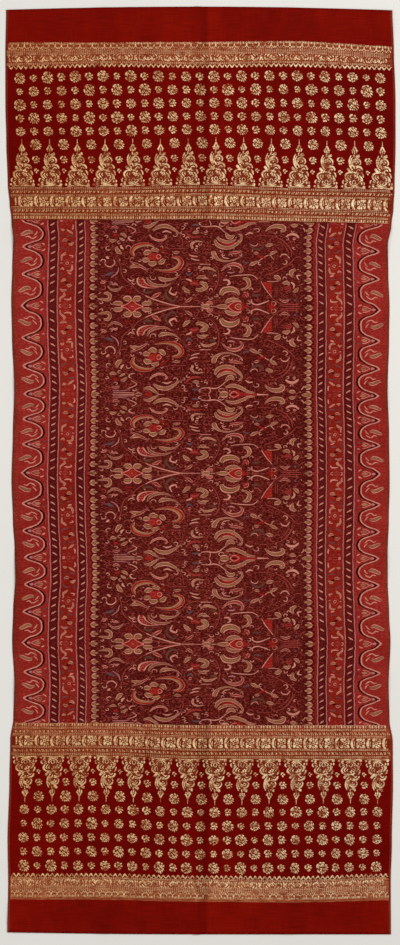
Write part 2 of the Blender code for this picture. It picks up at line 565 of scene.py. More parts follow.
def repeated(draft, material, **settings):
    """The draft's motif repeated, as a plain mesh that is still in squares."""
    tree = bpy.data.node_groups.get("Repeat the motif") or repeat_tree()
    motif = bpy.data.objects.new("motif", draft.mesh("motif"))
    bpy.context.scene.collection.objects.link(motif)
    modifier = motif.modifiers.new("Repeat", "NODES")
    modifier.node_group = tree
    wanted = {name.replace("_", " ").title(): value for name, value in settings.items()}
    wanted["Material"] = material
    for socket in tree.interface.items_tree:
        if socket.in_out == "INPUT" and socket.name in wanted:
            modifier[socket.identifier] = wanted.pop(socket.name)
    if wanted:
        raise RuntimeError(f"the repeat has no inputs named {sorted(wanted)}")
    graph = bpy.context.evaluated_depsgraph_get()
    made = bpy.data.meshes.new_from_object(motif.evaluated_get(graph))
    bpy.data.objects.remove(motif)
    return made


def laid_piece(name, meshes, material, lay):
    shape = bmesh.new()
    for mesh in meshes:
        shape.from_mesh(mesh)
        bpy.data.meshes.remove(mesh)
    if not shape.verts:
        raise RuntimeError(f"{name} has no threads")
    placed = lay(np.array([v.co for v in shape.verts]))
    for vertex, point in zip(shape.verts, placed):
        vertex.co = point
    shape.normal_update()
    flat = [face for face in shape.faces if face.calc_area() < SMALLEST_FACE]
    bmesh.ops.delete(shape, geom=flat, context="FACES")
    for face in shape.faces:
        face.smooth = True
        face.material_index = 0
        if face.normal.z < 0:
            face.normal_flip()
    made = bpy.data.meshes.new(name)
    shape.to_mesh(made)
    shape.free()
    made.materials.clear()
    made.materials.append(material)
    planar_map(made)
    piece = bpy.data.objects.new(name, made)
    bpy.context.scene.collection.objects.link(piece)
    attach(piece, "root")
    return piece


def planar_map(mesh):
    """A map of the mesh seen from above, for baking."""
    layer = mesh.uv_layers.new(name="OFBake")
    corners = np.empty(len(mesh.loops), np.int32)
    mesh.loops.foreach_get("vertex_index", corners)
    points = np.empty(len(mesh.vertices) * 3)
    mesh.vertices.foreach_get("co", points)
    flat = points.reshape(-1, 3)[:, :2]
    low, high = flat.min(axis=0), flat.max(axis=0)
    layer.data.foreach_set("uv", ((flat - low) / (high - low))[corners].ravel().astype(np.float32))


# Materials

WEAVE_PITCH = 0.00045
WEAVE_DEPTH = 0.0001
SHINE = 0.02
DULL = 0.6
STREAK_SHARE = 0.55
DEEP_SHARES = (0.62, 0.46, 0.46)
BROKEN_SHARES = (0.62, 0.26, 0.22)
BROKEN_STEP = 0.045
BARE_SHARE = 0.5
STITCH_PITCH = 0.0047
STITCH_LIGHT = 0.7
STITCH_SWING = 0.13
STITCH_STRAY = 3.0

# How a thread's colour drifts: its streaks' scale, how sharply it changes, and its blotches' scale
Drift = namedtuple("Drift", "streak contrast blotch")
DYE_DRIFT = Drift((260.0, 900.0, 1.0), 0.16, 60.0)
# The gold thread's mottle from bright to worn gold is partly wear of its wrapping and partly painted glints
# of single threads.
GOLD_WEAR_AND_GLINT_DRIFT = Drift((300.0, 620.0, 1.0), 0.075, 75.0)
STITCH_DRIFT = Drift((90.0, 500.0, 1.0), 0.13, 75.0)
FLOAT_DRIFT = Drift((150.0, 1100.0, 1.0), 0.12, 60.0)
# The metallic thread's tones from the left selvedge to the right: wear towards the left, painted light that
# brightens it towards the right, a painted shade in the middle crease and a painted highlight just right of
# it.
WEAR_AND_PAINTED_LIGHT_TONES = (
    (0.05, (0.96, 0.77, 0.64)),
    (0.485, (1.02, 0.91, 0.89)),
    (0.497, (0.82, 0.72, 0.66)),
    (0.517, (0.76, 0.66, 0.60)),
    (0.527, (1.10, 1.02, 1.02)),
    (0.565, (1.08, 1.00, 1.00)),
    (0.60, (1.03, 0.95, 0.95)),
    (0.85, (1.06, 1.03, 1.10)),
)


def weave_height(build, point, pitch):
    """A plain weave's relief: threads crossing, each the given distance from the next."""
    parts = build.node("ShaderNodeSeparateXYZ", point).outputs
    turns = math.tau / pitch
    warp = build.maths("SINE", build.maths("MULTIPLY", parts[0], turns))
    weft = build.maths("SINE", build.maths("MULTIPLY", parts[1], turns))
    return build.maths("MULTIPLY", warp, weft)


def silk_shader(material):
    """The material's shader and a tree builder, with the plain weave's relief already in place."""
    material.use_nodes = True
    shader = material.node_tree.nodes["Principled BSDF"]
    build = Tree(material.node_tree)
    point = build.node("ShaderNodeTexCoord").outputs["Object"]
    bump = build.node("ShaderNodeBump")
    bump.inputs["Strength"].default_value = bpy.context.scene.ikat_silk.weave_relief
    bump.inputs["Distance"].default_value = WEAVE_DEPTH
    build.put(bump.inputs["Height"], weave_height(build, point, WEAVE_PITCH))
    build.put(shader.inputs["Normal"], bump.outputs[0])
    shader.inputs["Specular IOR Level"].default_value = SHINE
    return shader, build, point


def thread_material(name, colour, deep, drift, roughness, metallic=0.0, stitched=False):
    """Thread whose colour drifts along the weft, and from one patch of the cloth to the next.

    Metallic thread is also more worn towards the left selvedge, and it carries painted light: lighter towards
    the right where the light falls, a painted shade along the middle crease and a painted highlight just
    right of it.
    """
    material = bpy.data.materials.new(name)
    shader, build, point = silk_shader(material)
    streaks = build.grain(point, drift.streak)
    blotches = build.noise(point, drift.blotch)
    streaked = build.maths("MULTIPLY", streaks, STREAK_SHARE)
    shade = build.maths("MULTIPLY_ADD", blotches, 1 - STREAK_SHARE, streaked)
    across = build.node("ShaderNodeSeparateXYZ", point).outputs[0]
    if stitched:
        place = build.maths("MULTIPLY", across, math.tau / STITCH_PITCH)
        turns = build.maths("MULTIPLY_ADD", streaks, STITCH_STRAY, place)
        shade = build.maths("MULTIPLY_ADD", build.maths("SINE", turns), STITCH_SWING, shade)
    low, high = 0.5 - drift.contrast, 0.5 + drift.contrast
    stops = [(low, deep), (high, colour)]
    if metallic > 0:
        broken = tuple(value * share for value, share in zip(deep, BROKEN_SHARES))
        stops.append((low - BROKEN_STEP, broken))
    base = build.ramp(shade, opaque(stops))
    if metallic > 0:
        # Painted light and wear by place across: wear towards the left, painted crease shade and highlight,
        # and brighter towards the right.
        side = build.maths("MULTIPLY_ADD", across, 1 / CLOTH_WIDTH, 0.5)
        base = build.toned(base, side, WEAR_AND_PAINTED_LIGHT_TONES)
    build.put(shader.inputs["Base Color"], base)
    shader.inputs["Roughness"].default_value = roughness
    shader.inputs["Metallic"].default_value = metallic
    return material


def dye_material(name):
    """Dyed silk of one colour, with the uneven streaks that tying leaves along the weft."""
    colour = DYE_COLOURS[name]
    deep = tuple(value * share for value, share in zip(colour, DEEP_SHARES))
    return thread_material("dyed_silk_" + name, colour, deep, DYE_DRIFT, DULL)


def gold_material(name):
    """Gold-wrapped thread: the whole wrapping, its worn floats, or one line of stitches. The whole wrapping's
    mottle holds painted glints as well as wear.
    """
    settings = bpy.context.scene.ikat_gold
    light, deep, worn = tuple(settings.light), tuple(settings.deep), tuple(settings.worn)
    shine, dull = settings.metallic, settings.roughness
    if name == "gold_thread":
        return thread_material(name, light, deep, GOLD_WEAR_AND_GLINT_DRIFT, dull, shine)
    if name == "gold_stitches":
        between = tuple(a * STITCH_LIGHT + b * (1 - STITCH_LIGHT) for a, b in zip(light, deep))
        return thread_material(name, between, worn, STITCH_DRIFT, dull, shine, stitched=True)
    bare = tuple(value * BARE_SHARE for value in worn)
    return thread_material(name, worn, bare, FLOAT_DRIFT, DULL, shine / 2)


# Stripes of the dyed zone, by the chart column where each starts, as the left border shows them
Stripe = namedtuple("Stripe", "start colour")
GROUND_RED = paint(138, 33, 26)
SELVEDGE_RED = paint(124, 40, 26)
STRIPE_MAROON = paint(84, 16, 11)
FIELD_MAROON = paint(78, 10, 8)
BAND_RED = paint(130, 27, 17)
LEFT_STRIPES = (
    Stripe(5.0, SELVEDGE_RED),
    Stripe(16.5, GROUND_RED),
    Stripe(48.9, STRIPE_MAROON),
    Stripe(58.0, BAND_RED),
    Stripe(76.4, STRIPE_MAROON),
    Stripe(85.3, BAND_RED),
    Stripe(88.6, FIELD_MAROON),
)
# The column of a left border's thread and that of its mirror image at the right add up to this.
MIRROR_SUM = 401.8

# The gold ends' ground, by the chart row where each starts
PLAIN_RED = paint(119, 10, 1)
BROCADE_RED = paint(106, 4, 0)
BAND_GROUND = paint(126, 47, 21)
OUTER_BAND_GROUND = paint(138, 58, 32)
LOWER_BAND_GROUND = paint(150, 76, 46)
BAND_GROUNDS = (BAND_GROUND, OUTER_BAND_GROUND, LOWER_BAND_GROUND)
MAIN_ROW_RED = paint(116, 34, 12)
END_GROUNDS = (
    Stripe(6.6, PLAIN_RED),
    Stripe(41.0, OUTER_BAND_GROUND),
    Stripe(64.4, BROCADE_RED),
    Stripe(185.2, BAND_GROUND),
    Stripe(195.2, MAIN_ROW_RED),
    Stripe(206.2, BAND_GROUND),
    Stripe(219.4, GROUND_RED),
    Stripe(724.8, OUTER_BAND_GROUND),
    Stripe(737.4, MAIN_ROW_RED),
    Stripe(748.6, BAND_GROUND),
    Stripe(758.2, BROCADE_RED),
    Stripe(877.0, LOWER_BAND_GROUND),
    Stripe(898.9, PLAIN_RED),
)
FIELD_SPECKS = (
    (0.30, paint(36, 3, 2)),
    (0.45, paint(64, 8, 5)),
    (0.54, paint(92, 22, 15)),
    (0.63, paint(122, 44, 34)),
    (0.76, paint(152, 76, 62)),
)
TIED_TONES = (
    (0.40, (0.86, 0.66, 0.62)),
    (0.55, (1.0, 1.1, 1.1)),
    (0.66, (1.28, 2.2, 2.2)),
    (0.76, (1.5, 3.6, 3.8)),
)
SPECK_SCALE = (190.0, 620.0, 1.0)
BAND_TONES = ((0.38, (0.58, 0.36, 0.32)), (0.50, (0.95, 0.90, 0.90)), (0.64, (1.55, 2.0, 1.9)))
BAND_SCALE = (55.0, 950.0, 1.0)

# What uneven threads and wear do all over the silk: fine picks, fine warps, patches and fading
Grain = namedtuple("Grain", "scale detail tones")
GRAINS = (
    Grain((22.0, 700.0, 1.0), 4.0, ((0.30, (0.74, 0.64, 0.64)), (0.70, (1.20, 1.26, 1.26)))),
    Grain((600.0, 26.0, 1.0), 3.0, ((0.32, (0.90, 0.84, 0.84)), (0.68, (1.08, 1.14, 1.14)))),
    Grain((22.0, 14.0, 1.0), 3.0, ((0.34, (0.90, 0.82, 0.82)), (0.66, (1.07, 1.14, 1.16)))),
    Grain((3.0, 2.0, 1.0), 3.0, ((0.35, (0.86, 0.78, 0.78)), (0.65, (1.12, 1.24, 1.30)))),
)
# Painted shade along the middle crease of the ends' silk, with a painted highlight just right of it.
PAINTED_CREASE_SHADE_AND_HIGHLIGHT = (
    (0.490, (1.0, 1.0, 1.0)),
    (0.500, (0.84, 0.74, 0.70)),
    (0.517, (0.78, 0.68, 0.64)),
    (0.526, (1.06, 1.08, 1.10)),
    (0.560, (1.0, 1.0, 1.0)),
)
# How far from the middle the selvedges start and the field ends, as shares of the width
SELVEDGE_SHARE = 0.4945
FIELD_SHARE = 0.278


def dyed_share(column):
    """Where a chart column of the dyed zone lies across the cloth, from 0 to 1."""
    return 0.5 + (column - CHART_MIDDLE) * SQUARE / DYED_HALF_WIDTH / 2


def stripe_stops():
    """The dyed zone's stripes from selvedge to selvedge, the right side mirroring the left."""
    stops = [(max(0.0, dyed_share(s.start)), s.colour) for s in LEFT_STRIPES]
    for stripe, after in zip(reversed(LEFT_STRIPES[:-1]), reversed(LEFT_STRIPES[1:])):
        stops.append((dyed_share(MIRROR_SUM - after.start), stripe.colour))
    return opaque(stops)


def silk_material():
    """The cloth's own silk: plain ends, brocade ground, band ground and the dyed zone's stripes, with a
    painted shade and a painted highlight along the middle crease of the ends.
    """
    material = bpy.data.materials.new("red_silk")
    shader, build, point = silk_shader(material)
    loom = build.node("ShaderNodeUVMap", uv_map="Loom").outputs[0]
    across, along, _ = build.node("ShaderNodeSeparateXYZ", loom).outputs
    stops = [((s.start - CHART_TOP) / CHART_ROWS, s.colour) for s in END_GROUNDS]
    ends = build.ramp(along, opaque(stops), "CONSTANT")
    banded = [(place, (float(colour in BAND_GROUNDS),) * 3) for place, colour in stops]
    in_band = build.ramp(along, opaque(banded), "CONSTANT")
    ends = build.mix(in_band, ends, build.toned(ends, build.grain(point, BAND_SCALE), BAND_TONES))
    # Painted crease shade and highlight on the ends' ground.
    ends = build.toned(ends, across, PAINTED_CREASE_SHADE_AND_HIGHLIGHT)
    stripes = build.ramp(across, stripe_stops(), "CONSTANT")
    zone_start, zone_end = ((row - CHART_TOP) / CHART_ROWS for row in (DYED_START, DYED_END))
    past_start = build.maths("GREATER_THAN", along, zone_start)
    in_zone = build.maths("MULTIPLY", past_start, build.maths("LESS_THAN", along, zone_end))
    base = build.mix(in_zone, ends, stripes)
    edge = build.maths("ABSOLUTE", build.maths("SUBTRACT", across, 0.5))
    base = build.mix(build.maths("GREATER_THAN", edge, SELVEDGE_SHARE), base, (*SELVEDGE_RED, 1))
    specks = build.grain(point, SPECK_SCALE)
    base = build.mix(in_zone, base, build.toned(base, specks, TIED_TONES))
    in_field = build.maths("MULTIPLY", in_zone, build.maths("LESS_THAN", edge, FIELD_SHARE))
    base = build.mix(in_field, base, build.ramp(specks, opaque(FIELD_SPECKS)))
    for grain in GRAINS:
        base = build.toned(base, build.grain(point, grain.scale, grain.detail), grain.tones)
    build.put(shader.inputs["Base Color"], base)
    shader.inputs["Roughness"].default_value = DULL
    return material


# The silk sheet

CLOTH_COLUMN_PITCH = 0.0068
CREASE_COLUMN_PITCH = 0.0024
CLOTH_ROW_PITCH = 0.0085


def evenly(start, end, pitch):
    """Even steps from start up to, but without, end."""
    steps = max(1, round((end - start) / pitch))
    return [start + (end - start) * step / steps for step in range(steps)]


def cloth_columns():
    """Where the sheet's columns lie, closer at the middle crease, from -1 to 1."""
    half, middle = CLOTH_WIDTH / 2, CREASES[0]
    near, far = middle.across - middle.half_width, middle.across + middle.half_width
    stops = evenly(-half, near, CLOTH_COLUMN_PITCH)
    stops += evenly(near, far, CREASE_COLUMN_PITCH)
    stops += evenly(far, half, CLOTH_COLUMN_PITCH) + [half]
    return np.array(stops) / half


def cloth_rows():
    """Where the sheet's rows lie, with both sides of each step in thickness."""
    stops = {0.0, HEM_DEPTH, HEM_DEPTH + STEP_RUN}
    stops |= {CLOTH_LENGTH - stop for stop in stops}
    for band in GOLD_BANDS:
        stops |= {band.start - STEP_RUN, band.start, band.end, band.end + STEP_RUN}
    ordered = sorted(stops)
    rows = []
    for start, end in zip(ordered, ordered[1:]):
        rows += evenly(start, end, CLOTH_ROW_PITCH)
    return np.array(rows + [ordered[-1]])


def sheet_mesh():
    """The silk as one closed sheet, with its loom map."""
    columns, rows = cloth_columns(), cloth_rows()
    wide, deep = len(columns), len(rows)
    across = np.tile(columns, deep)
    from_top = np.repeat(rows, wide)
    face = on_cloth(across, from_top, 0.0)
    under = face.copy()
    under[:, 2] -= thickness_of(from_top)
    points = np.vstack([face, under])
    count = wide * deep
    faces = []
    for r in range(deep - 1):
        for c in range(wide - 1):
            a = r * wide + c
            b, d, e = a + 1, a + wide, a + wide + 1
            faces.append((a, d, e, b))
            faces.append((a + count, b + count, e + count, d + count))
    rim = [(r * wide, (r + 1) * wide) for r in range(deep - 1)]
    rim += [(r * wide + wide - 1, (r + 1) * wide + wide - 1) for r in range(deep - 1)]
    rim += [(c, c + 1) for c in range(wide - 1)]
    rim += [((deep - 1) * wide + c, (deep - 1) * wide + c + 1) for c in range(wide - 1)]
    faces += [(a, b, b + count, a + count) for a, b in rim]
    shape = bmesh.new()
    mesh = bpy.data.meshes.new("silk_cloth")
    mesh.from_pydata(points.tolist(), [], faces)
    shape.from_mesh(mesh)
    bmesh.ops.recalc_face_normals(shape, faces=shape.faces)
    shape.to_mesh(mesh)
    shape.free()
    loom = mesh.uv_layers.new(name="Loom")
    corners = np.empty(len(mesh.loops), np.int32)
    mesh.loops.foreach_get("vertex_index", corners)
    shares = np.stack([(across + 1) / 2, from_top / CLOTH_LENGTH], axis=1)
    shares = np.vstack([shares, shares])
    loom.data.foreach_set("uv", shares[corners].ravel().astype(np.float32))
    mesh.shade_smooth()
    return mesh


# Gold weft motifs, in squares, drafted for the upper end with the hem end at the top

Thread = namedtuple("Thread", "widths path")


def threads(*rows):
    """A table of threads, each with its widths and its path."""
    return tuple(Thread(*row) for row in rows)


TUMPAL_THREADS = threads(
    ((0.5, 0.8, 1.2), ((0, 50.5), (0, 47.6), (0, 44.8))),
    ((1, 1.6, 1.5, 0.9), ((-0.1, 44.8), (-1.2, 41.8), (-2.2, 39.2), (-1.6, 36.9))),
    ((1, 1.6, 1.5, 0.9), ((0.1, 44.8), (1.2, 41.8), (2.2, 39.2), (1.6, 36.9))),
    ((0.6, 1.3, 1.5, 0.9), ((0, 40.8), (0, 39.4), (0, 38), (0, 36.4))),
    ((1.1, 0.9, 0.4), ((-2, 38.6), (-2.8, 39.6), (-3.4, 40.6))),
    ((1.1, 0.9, 0.4), ((2, 38.6), (2.8, 39.6), (3.4, 40.6))),
    ((0.9, 1.4, 2, 1.7), ((0.3, 33.6), (2, 34), (3.6, 35), (4.9, 35.8))),
    ((0.6, 1.1, 1.3, 0.8), ((0.9, 32.4), (2.6, 32.8), (4.2, 33.6), (5.2, 34.4))),
    ((0.8, 1.2, 0.9), ((0, 36.6), (-0.6, 34.8), (-0.4, 32.6))),
    ((0.9, 1.6, 1.7, 1.7, 1.4, 0.9),
     ((-3.5, 35.2), (-5.2, 30.4), (-5.2, 27), (-4.4, 23.8), (-2.7, 20.9), (-1, 19.5))),
    ((0.8, 1.2, 1.3, 0.9), ((-2, 33.3), (-3.5, 29.8), (-3.4, 26), (-1.9, 22.5))),
    ((0.7, 1.1, 1.1, 0.8), ((-0.6, 31.6), (-1.9, 28.2), (-1.8, 25.2), (-0.4, 22.4))),
    ((0.9, 1.5, 1.7, 1.6, 1.4, 0.9),
     ((-1.1, 26.6), (0.3, 30.5), (3.2, 31.4), (5.6, 29.5), (6.3, 26.8), (5.2, 24.6))),
    ((0.8, 1.3, 1.4, 0.9), ((0, 27.2), (1.5, 29.3), (3.5, 28.4), (3.7, 26.4))),
    ((1, 1.6, 1.1), ((1.3, 27.2), (1.9, 26.8), (2, 25.8))),
    ((0.9, 1.3, 0.9), ((4.6, 24.6), (2.6, 23.6), (0.9, 23.8))),
    ((0.9, 1.4, 0.9), ((-0.6, 24.6), (-0.1, 22.6), (0.3, 20.6))),
    ((0.9, 1.7, 2, 1.8, 1.3), ((1.3, 21.2), (4, 23), (6.6, 22.6), (8.2, 20.4), (8.4, 18.6))),
    ((0.8, 1.5, 1), ((2.4, 18.8), (4.7, 20.4), (6.6, 18.8))),
    ((1.9, 2.9, 2.3, 1.3), ((-7.2, 21.4), (-6.1, 20.3), (-4.2, 17.8), (-2, 16.5))),
    ((0.9, 1.3, 0.8), ((-3.6, 19.8), (-2, 18.4), (-0.9, 16.4))),
    ((1, 1.7, 2.2, 1.8, 1.5, 1),
     ((-3.4, 16.8), (-6.7, 16.5), (-8.9, 14.2), (-9, 12), (-7.4, 9.5), (-5.6, 8))),
    ((0.9, 1.4, 1.4, 0.9), ((-5.2, 14.7), (-6.6, 12.8), (-5.4, 10.6), (-3.8, 9.4))),
    ((0.8, 1.3, 0.8), ((-3.2, 14.6), (-3.9, 12.6), (-2.6, 11.2))),
    ((0.9, 2, 1), ((1.9, 15.9), (2.3, 17.4), (2.4, 19))),
    ((0.9, 2, 1), ((1.4, 15.8), (0.6, 17), (-0.3, 18))),
    ((0.9, 1.9, 1), ((1.2, 15), (0.1, 14.6), (-1.2, 14))),
    ((0.9, 1.9, 1), ((2.6, 15.5), (3.6, 16), (4.8, 16.4))),
    ((0.9, 1.8, 1), ((1.8, 14.8), (1.2, 13.2), (0.4, 11.8))),
    ((0.9, 1.8, 1), ((2.6, 14.6), (3.4, 13.4), (3.9, 12.4))),
    ((0.9, 1.8, 1.8, 1), ((5, 14.2), (6.8, 12.4), (8, 10.4), (8.8, 7.6))),
    ((0.8, 1.6, 1.4, 0.9), ((7.4, 17.4), (8.8, 15.6), (9.4, 13.4), (9.3, 11.8))),
    ((0.8, 1.3, 1.3, 1.2, 0.8), ((1.7, 10.4), (2.6, 12), (4.6, 11.6), (4.9, 9.6), (3.2, 8.8))),
    ((0.8, 1.3, 1.3, 0.8), ((5, 8.2), (6.2, 7.4), (7.2, 8.6), (6.4, 10.8))),
    ((1, 1.8, 1.1), ((7.6, 7.2), (7.9, 5.8), (7.8, 4.2))),
    ((1, 1.8, 1.1), ((9.9, 7.2), (10.4, 5.8), (10.2, 4.2))),
    ((0.8, 1.1, 1.1, 0.8), ((0, 9.4), (-1.7, 7), (-1.4, 5.6), (0, 4.4))),
    ((0.8, 1.1, 1.1, 0.8), ((0, 9.4), (1.7, 7), (1.4, 5.6), (0, 4.4))),
    ((0.8, 1.3, 1.3, 1.3, 0.8), ((-4.2, 6.6), (-3.2, 4.6), (0, 3.3), (3.4, 4.6), (4.2, 6))),
    ((0.8, 1.3, 1.3, 0.8), ((-4.9, 4.2), (-2.6, 2.6), (2.2, 2.2), (5.4, 3))),
    ((0.8, 1.4, 0.9), ((-3, 8.6), (-4, 7.4), (-4.6, 6))),
    ((0.8, 1.4, 0.9), ((3, 7.8), (4.4, 6.8), (5.4, 5.2))),
    ((0.9, 1.7, 1.6, 1), ((-9.9, 9.2), (-11.2, 8), (-11.5, 6.4), (-10.6, 4.9))),
    ((1, 1.7, 1), ((-9.9, 3.9), (-8.6, 4.6), (-7.2, 5.6))),
    ((0.8, 1.3, 0.8), ((-8.8, 8.4), (-7.6, 7.2), (-6.2, 6.6))),
    ((1.6, 2.6, 1.6), ((-13, 2.5), (-12.1, 2.3), (-11.2, 1.6))),
    ((1.2, 2.3, 1.4), ((-9.6, 2.6), (-8.5, 2.7), (-7.2, 1.9))),
    ((1.6, 3.4, 2.2), ((8.6, 1.8), (10, 2), (11.6, 1.8))),
    ((0.9, 1.3, 1.3, 0.9), ((-11.4, 0.5), (-4.5, 0.9), (4, 1), (11.6, 0.5))),
)
TUMPAL_HEIGHT = 50.5
WornRow = namedtuple("WornRow", "at left right")
TUMPAL_GROUND = (
    WornRow(0.6, -12.4, 11.2),
    WornRow(4.0, -11.4, 10.6),
    WornRow(9.0, -10.4, 9.4),
    WornRow(14.0, -9.2, 9.2),
    WornRow(19.0, -7.0, 8.4),
    WornRow(22.0, -4.8, 7.4),
    WornRow(27.0, -5.0, 6.0),
    WornRow(31.0, -4.8, 4.0),
    WornRow(35.0, -3.0, 4.6),
    WornRow(37.0, -1.0, 1.2),
    WornRow(40.0, -2.4, 2.4),
    WornRow(43.4, -0.6, 0.6),
)
WORN_PITCH = 1.3
WORN_WIDTH = 1.0
ROUND_ROWS = 9
ROUND_REACH = 0.93
FLOWER_SIZE = 0.93

LARGE_FLOWER = threads(
    ((0.9, 1.5, 1.7, 1), ((-1.2, -4.9), (-2.9, -4.3), (-4, -3), (-4.4, -1.5))),
    ((0.9, 1.6, 1.5, 0.9), ((-4.6, -0.6), (-4.8, 0.8), (-4.2, 2.2), (-3.2, 3))),
    ((0.9, 1.5, 0.9), ((-0.6, -5.2), (0.6, -5), (1.7, -4.3))),
    ((0.9, 1.5, 0.9), ((2.5, -4.4), (3.5, -3.5), (4.1, -2.2))),
    ((0.8, 1.2, 1.2, 0.8), ((-0.4, -3.6), (-1.9, -3.1), (-2.9, -1.7), (-2.9, -0.2))),
    ((0.8, 1.3, 1.3, 0.7), ((0.4, -3.3), (1.9, -2.7), (2.5, -1.3), (2.3, 0.3))),
    ((0.8, 1.3, 1.2, 0.7), ((-1.3, -1.7), (0, -2), (0.9, -1), (0.6, 0.2))),
    ((0.8, 1.3, 1.1, 0.7), ((-1.5, -0.5), (-1.3, 0.8), (-0.1, 1.3), (0.9, 1.2))),
    ((0.8, 1.3, 0.8), ((-2.6, 1.2), (-2, 2.3), (-0.9, 2.9))),
    ((0.8, 1.3, 0.8), ((0.3, 2.7), (1.5, 2.3), (2.3, 1.6))),
    ((1.3, 1.5, 0.5), ((3.4, -0.9), (4.7, -0.3), (6.2, 0.4))),
    ((1.4, 1.5, 0.5), ((3.2, 0.9), (4.5, 1.8), (6, 2.9))),
    ((1.3, 1.4, 0.5), ((2.4, 2.5), (3.5, 3.6), (4.7, 5))),
    ((1.2, 1.5, 0.8), ((-3.1, 3.9), (-2.3, 4.4), (-1.7, 4.9))),
    ((1.2, 1.6, 0.9), ((-0.9, 3.9), (-0.2, 4.7), (0.3, 5.4))),
    ((1.2, 1.5, 0.8), ((1.2, 3.5), (1.8, 4.4), (2.3, 5.2))),
)
SMALL_FLOWER = threads(
    ((0.9, 1.6, 1.7, 1), ((-3.2, 0.2), (-3.2, -1.4), (-2.3, -2.8), (-0.9, -3.4))),
    ((0.9, 1.6, 1), ((-0.2, -3.5), (1.1, -3), (1.9, -1.9))),
    ((0.8, 1.4, 1.2, 0.7), ((-2.6, 1), (-1.7, 0.4), (-0.4, 0.3), (0.6, -0.9))),
    ((1, 1.5, 1.1), ((-0.3, -1.6), (0.9, -0.5), (1.4, 0.8))),
    ((1.5, 1.4, 0.6), ((2, -1), (3.1, -0.8), (4.2, -0.9))),
    ((1.5, 1.4, 0.6), ((1.7, 0.9), (2.8, 1.6), (3.7, 2.2))),
    ((1.4, 1.7, 1), ((-2.1, 1.9), (-1.3, 2.9), (-0.6, 3.7))),
    ((1.4, 1.7, 0.9), ((-0.2, 1.8), (0.6, 2.8), (1.2, 3.8))),
)
TINY_FLOWER = threads(
    ((1, 1.5, 1), ((-2, 0.6), (-1.4, -1.6), (0.8, -1.9))),
    ((1.3, 1.6, 0.8), ((0.2, -0.2), (1.3, -0.3), (2.6, -0.4))),
    ((1.3, 1.5, 0.9), ((-0.6, 0.4), (-0.2, 1.5), (0.3, 2.6))),
)


def thread(draft, widths, path):
    """One gold thread."""
    draft.stroke(path, widths, GOLD_TOP, GOLD_FOOT)


def arc(centre, radius, start, end, points=5):
    """Points along an arc, with its ends given in degrees."""
    turns = np.radians(np.linspace(start, end, points))
    return [(centre[0] + radius * math.cos(a), centre[1] + radius * math.sin(a)) for a in turns]


def worn_floats(rows):
    """Worn weft floats that fill a figure's ground, each from its left to its right edge."""
    draft = Draft()
    stops = [row.at for row in rows]
    for at in np.arange(stops[0], stops[-1], WORN_PITCH):
        left = float(np.interp(at, stops, [row.left for row in rows]))
        right = float(np.interp(at, stops, [row.right for row in rows]))
        draft.stroke(((left, -at), (right, -at)), (WORN_WIDTH, WORN_WIDTH), WORN_TOP, GOLD_FOOT)
    return draft


def round_ground(radius):
    """The worn floats behind a flower."""
    stops = np.linspace(-ROUND_REACH, ROUND_REACH, ROUND_ROWS) * radius
    halves = np.sqrt(radius**2 - stops**2)
    return worn_floats([WornRow(at, -half, half) for at, half in zip(stops, halves)])


def tumpal():
    """A pointed bamboo-shoot figure, its base on row 0 and its spire towards lower rows."""
    draft = Draft()
    for row in TUMPAL_THREADS:
        thread(draft, row.widths, [(x, -y) for x, y in row.path])
    return draft


def flower(petals):
    """One flower of the rows, its petals trailing to the lower right."""
    draft = Draft()
    for row in petals:
        thread(draft, row.widths, [(x * FLOWER_SIZE, y * FLOWER_SIZE) for x, y in row.path])
    return draft


def comb_tooth():
    """A tooth of the outer band's comb, with the short bars beside it."""
    draft = Draft()
    thread(draft, (0.5, 1.0, 1.4, 0.9), ((0.0, -2.2), (0.0, -0.4), (0.0, 1.1), (0.0, 1.9)))
    for side in (-1, 1):
        thread(draft, (0.6, 1.0, 0.7), ((side * 1.5, -2.0), (side * 1.6, -0.8), (side * 1.3, 0.4)))
        thread(draft, (0.5, 0.9, 0.6), ((side * 2.5, -1.9), (side * 2.9, -0.6), (side * 2.4, 0.8)))
    return draft


def arch():
    """The small arch under each tooth, with the bead it covers."""
    draft = Draft()
    curve = ((-2.1, 1.5), (-1.7, -0.4), (0.0, -1.4), (1.7, -0.4), (2.1, 1.5))
    thread(draft, (1.2, 1.0, 0.9, 1.0, 1.2), curve)
    thread(draft, (0.7, 1.2, 0.8), ((0.0, 0.2), (0.0, 1.0), (0.0, 1.8)))
    thread(draft, (0.5, 1.0, 0.5), ((-3.1, -1.7), (-3.1, -0.5), (-3.1, 0.9)))
    thread(draft, (0.5, 0.9, 0.5), ((-1.0, -2.4), (0.0, -2.0), (1.0, -2.4)))
    return draft


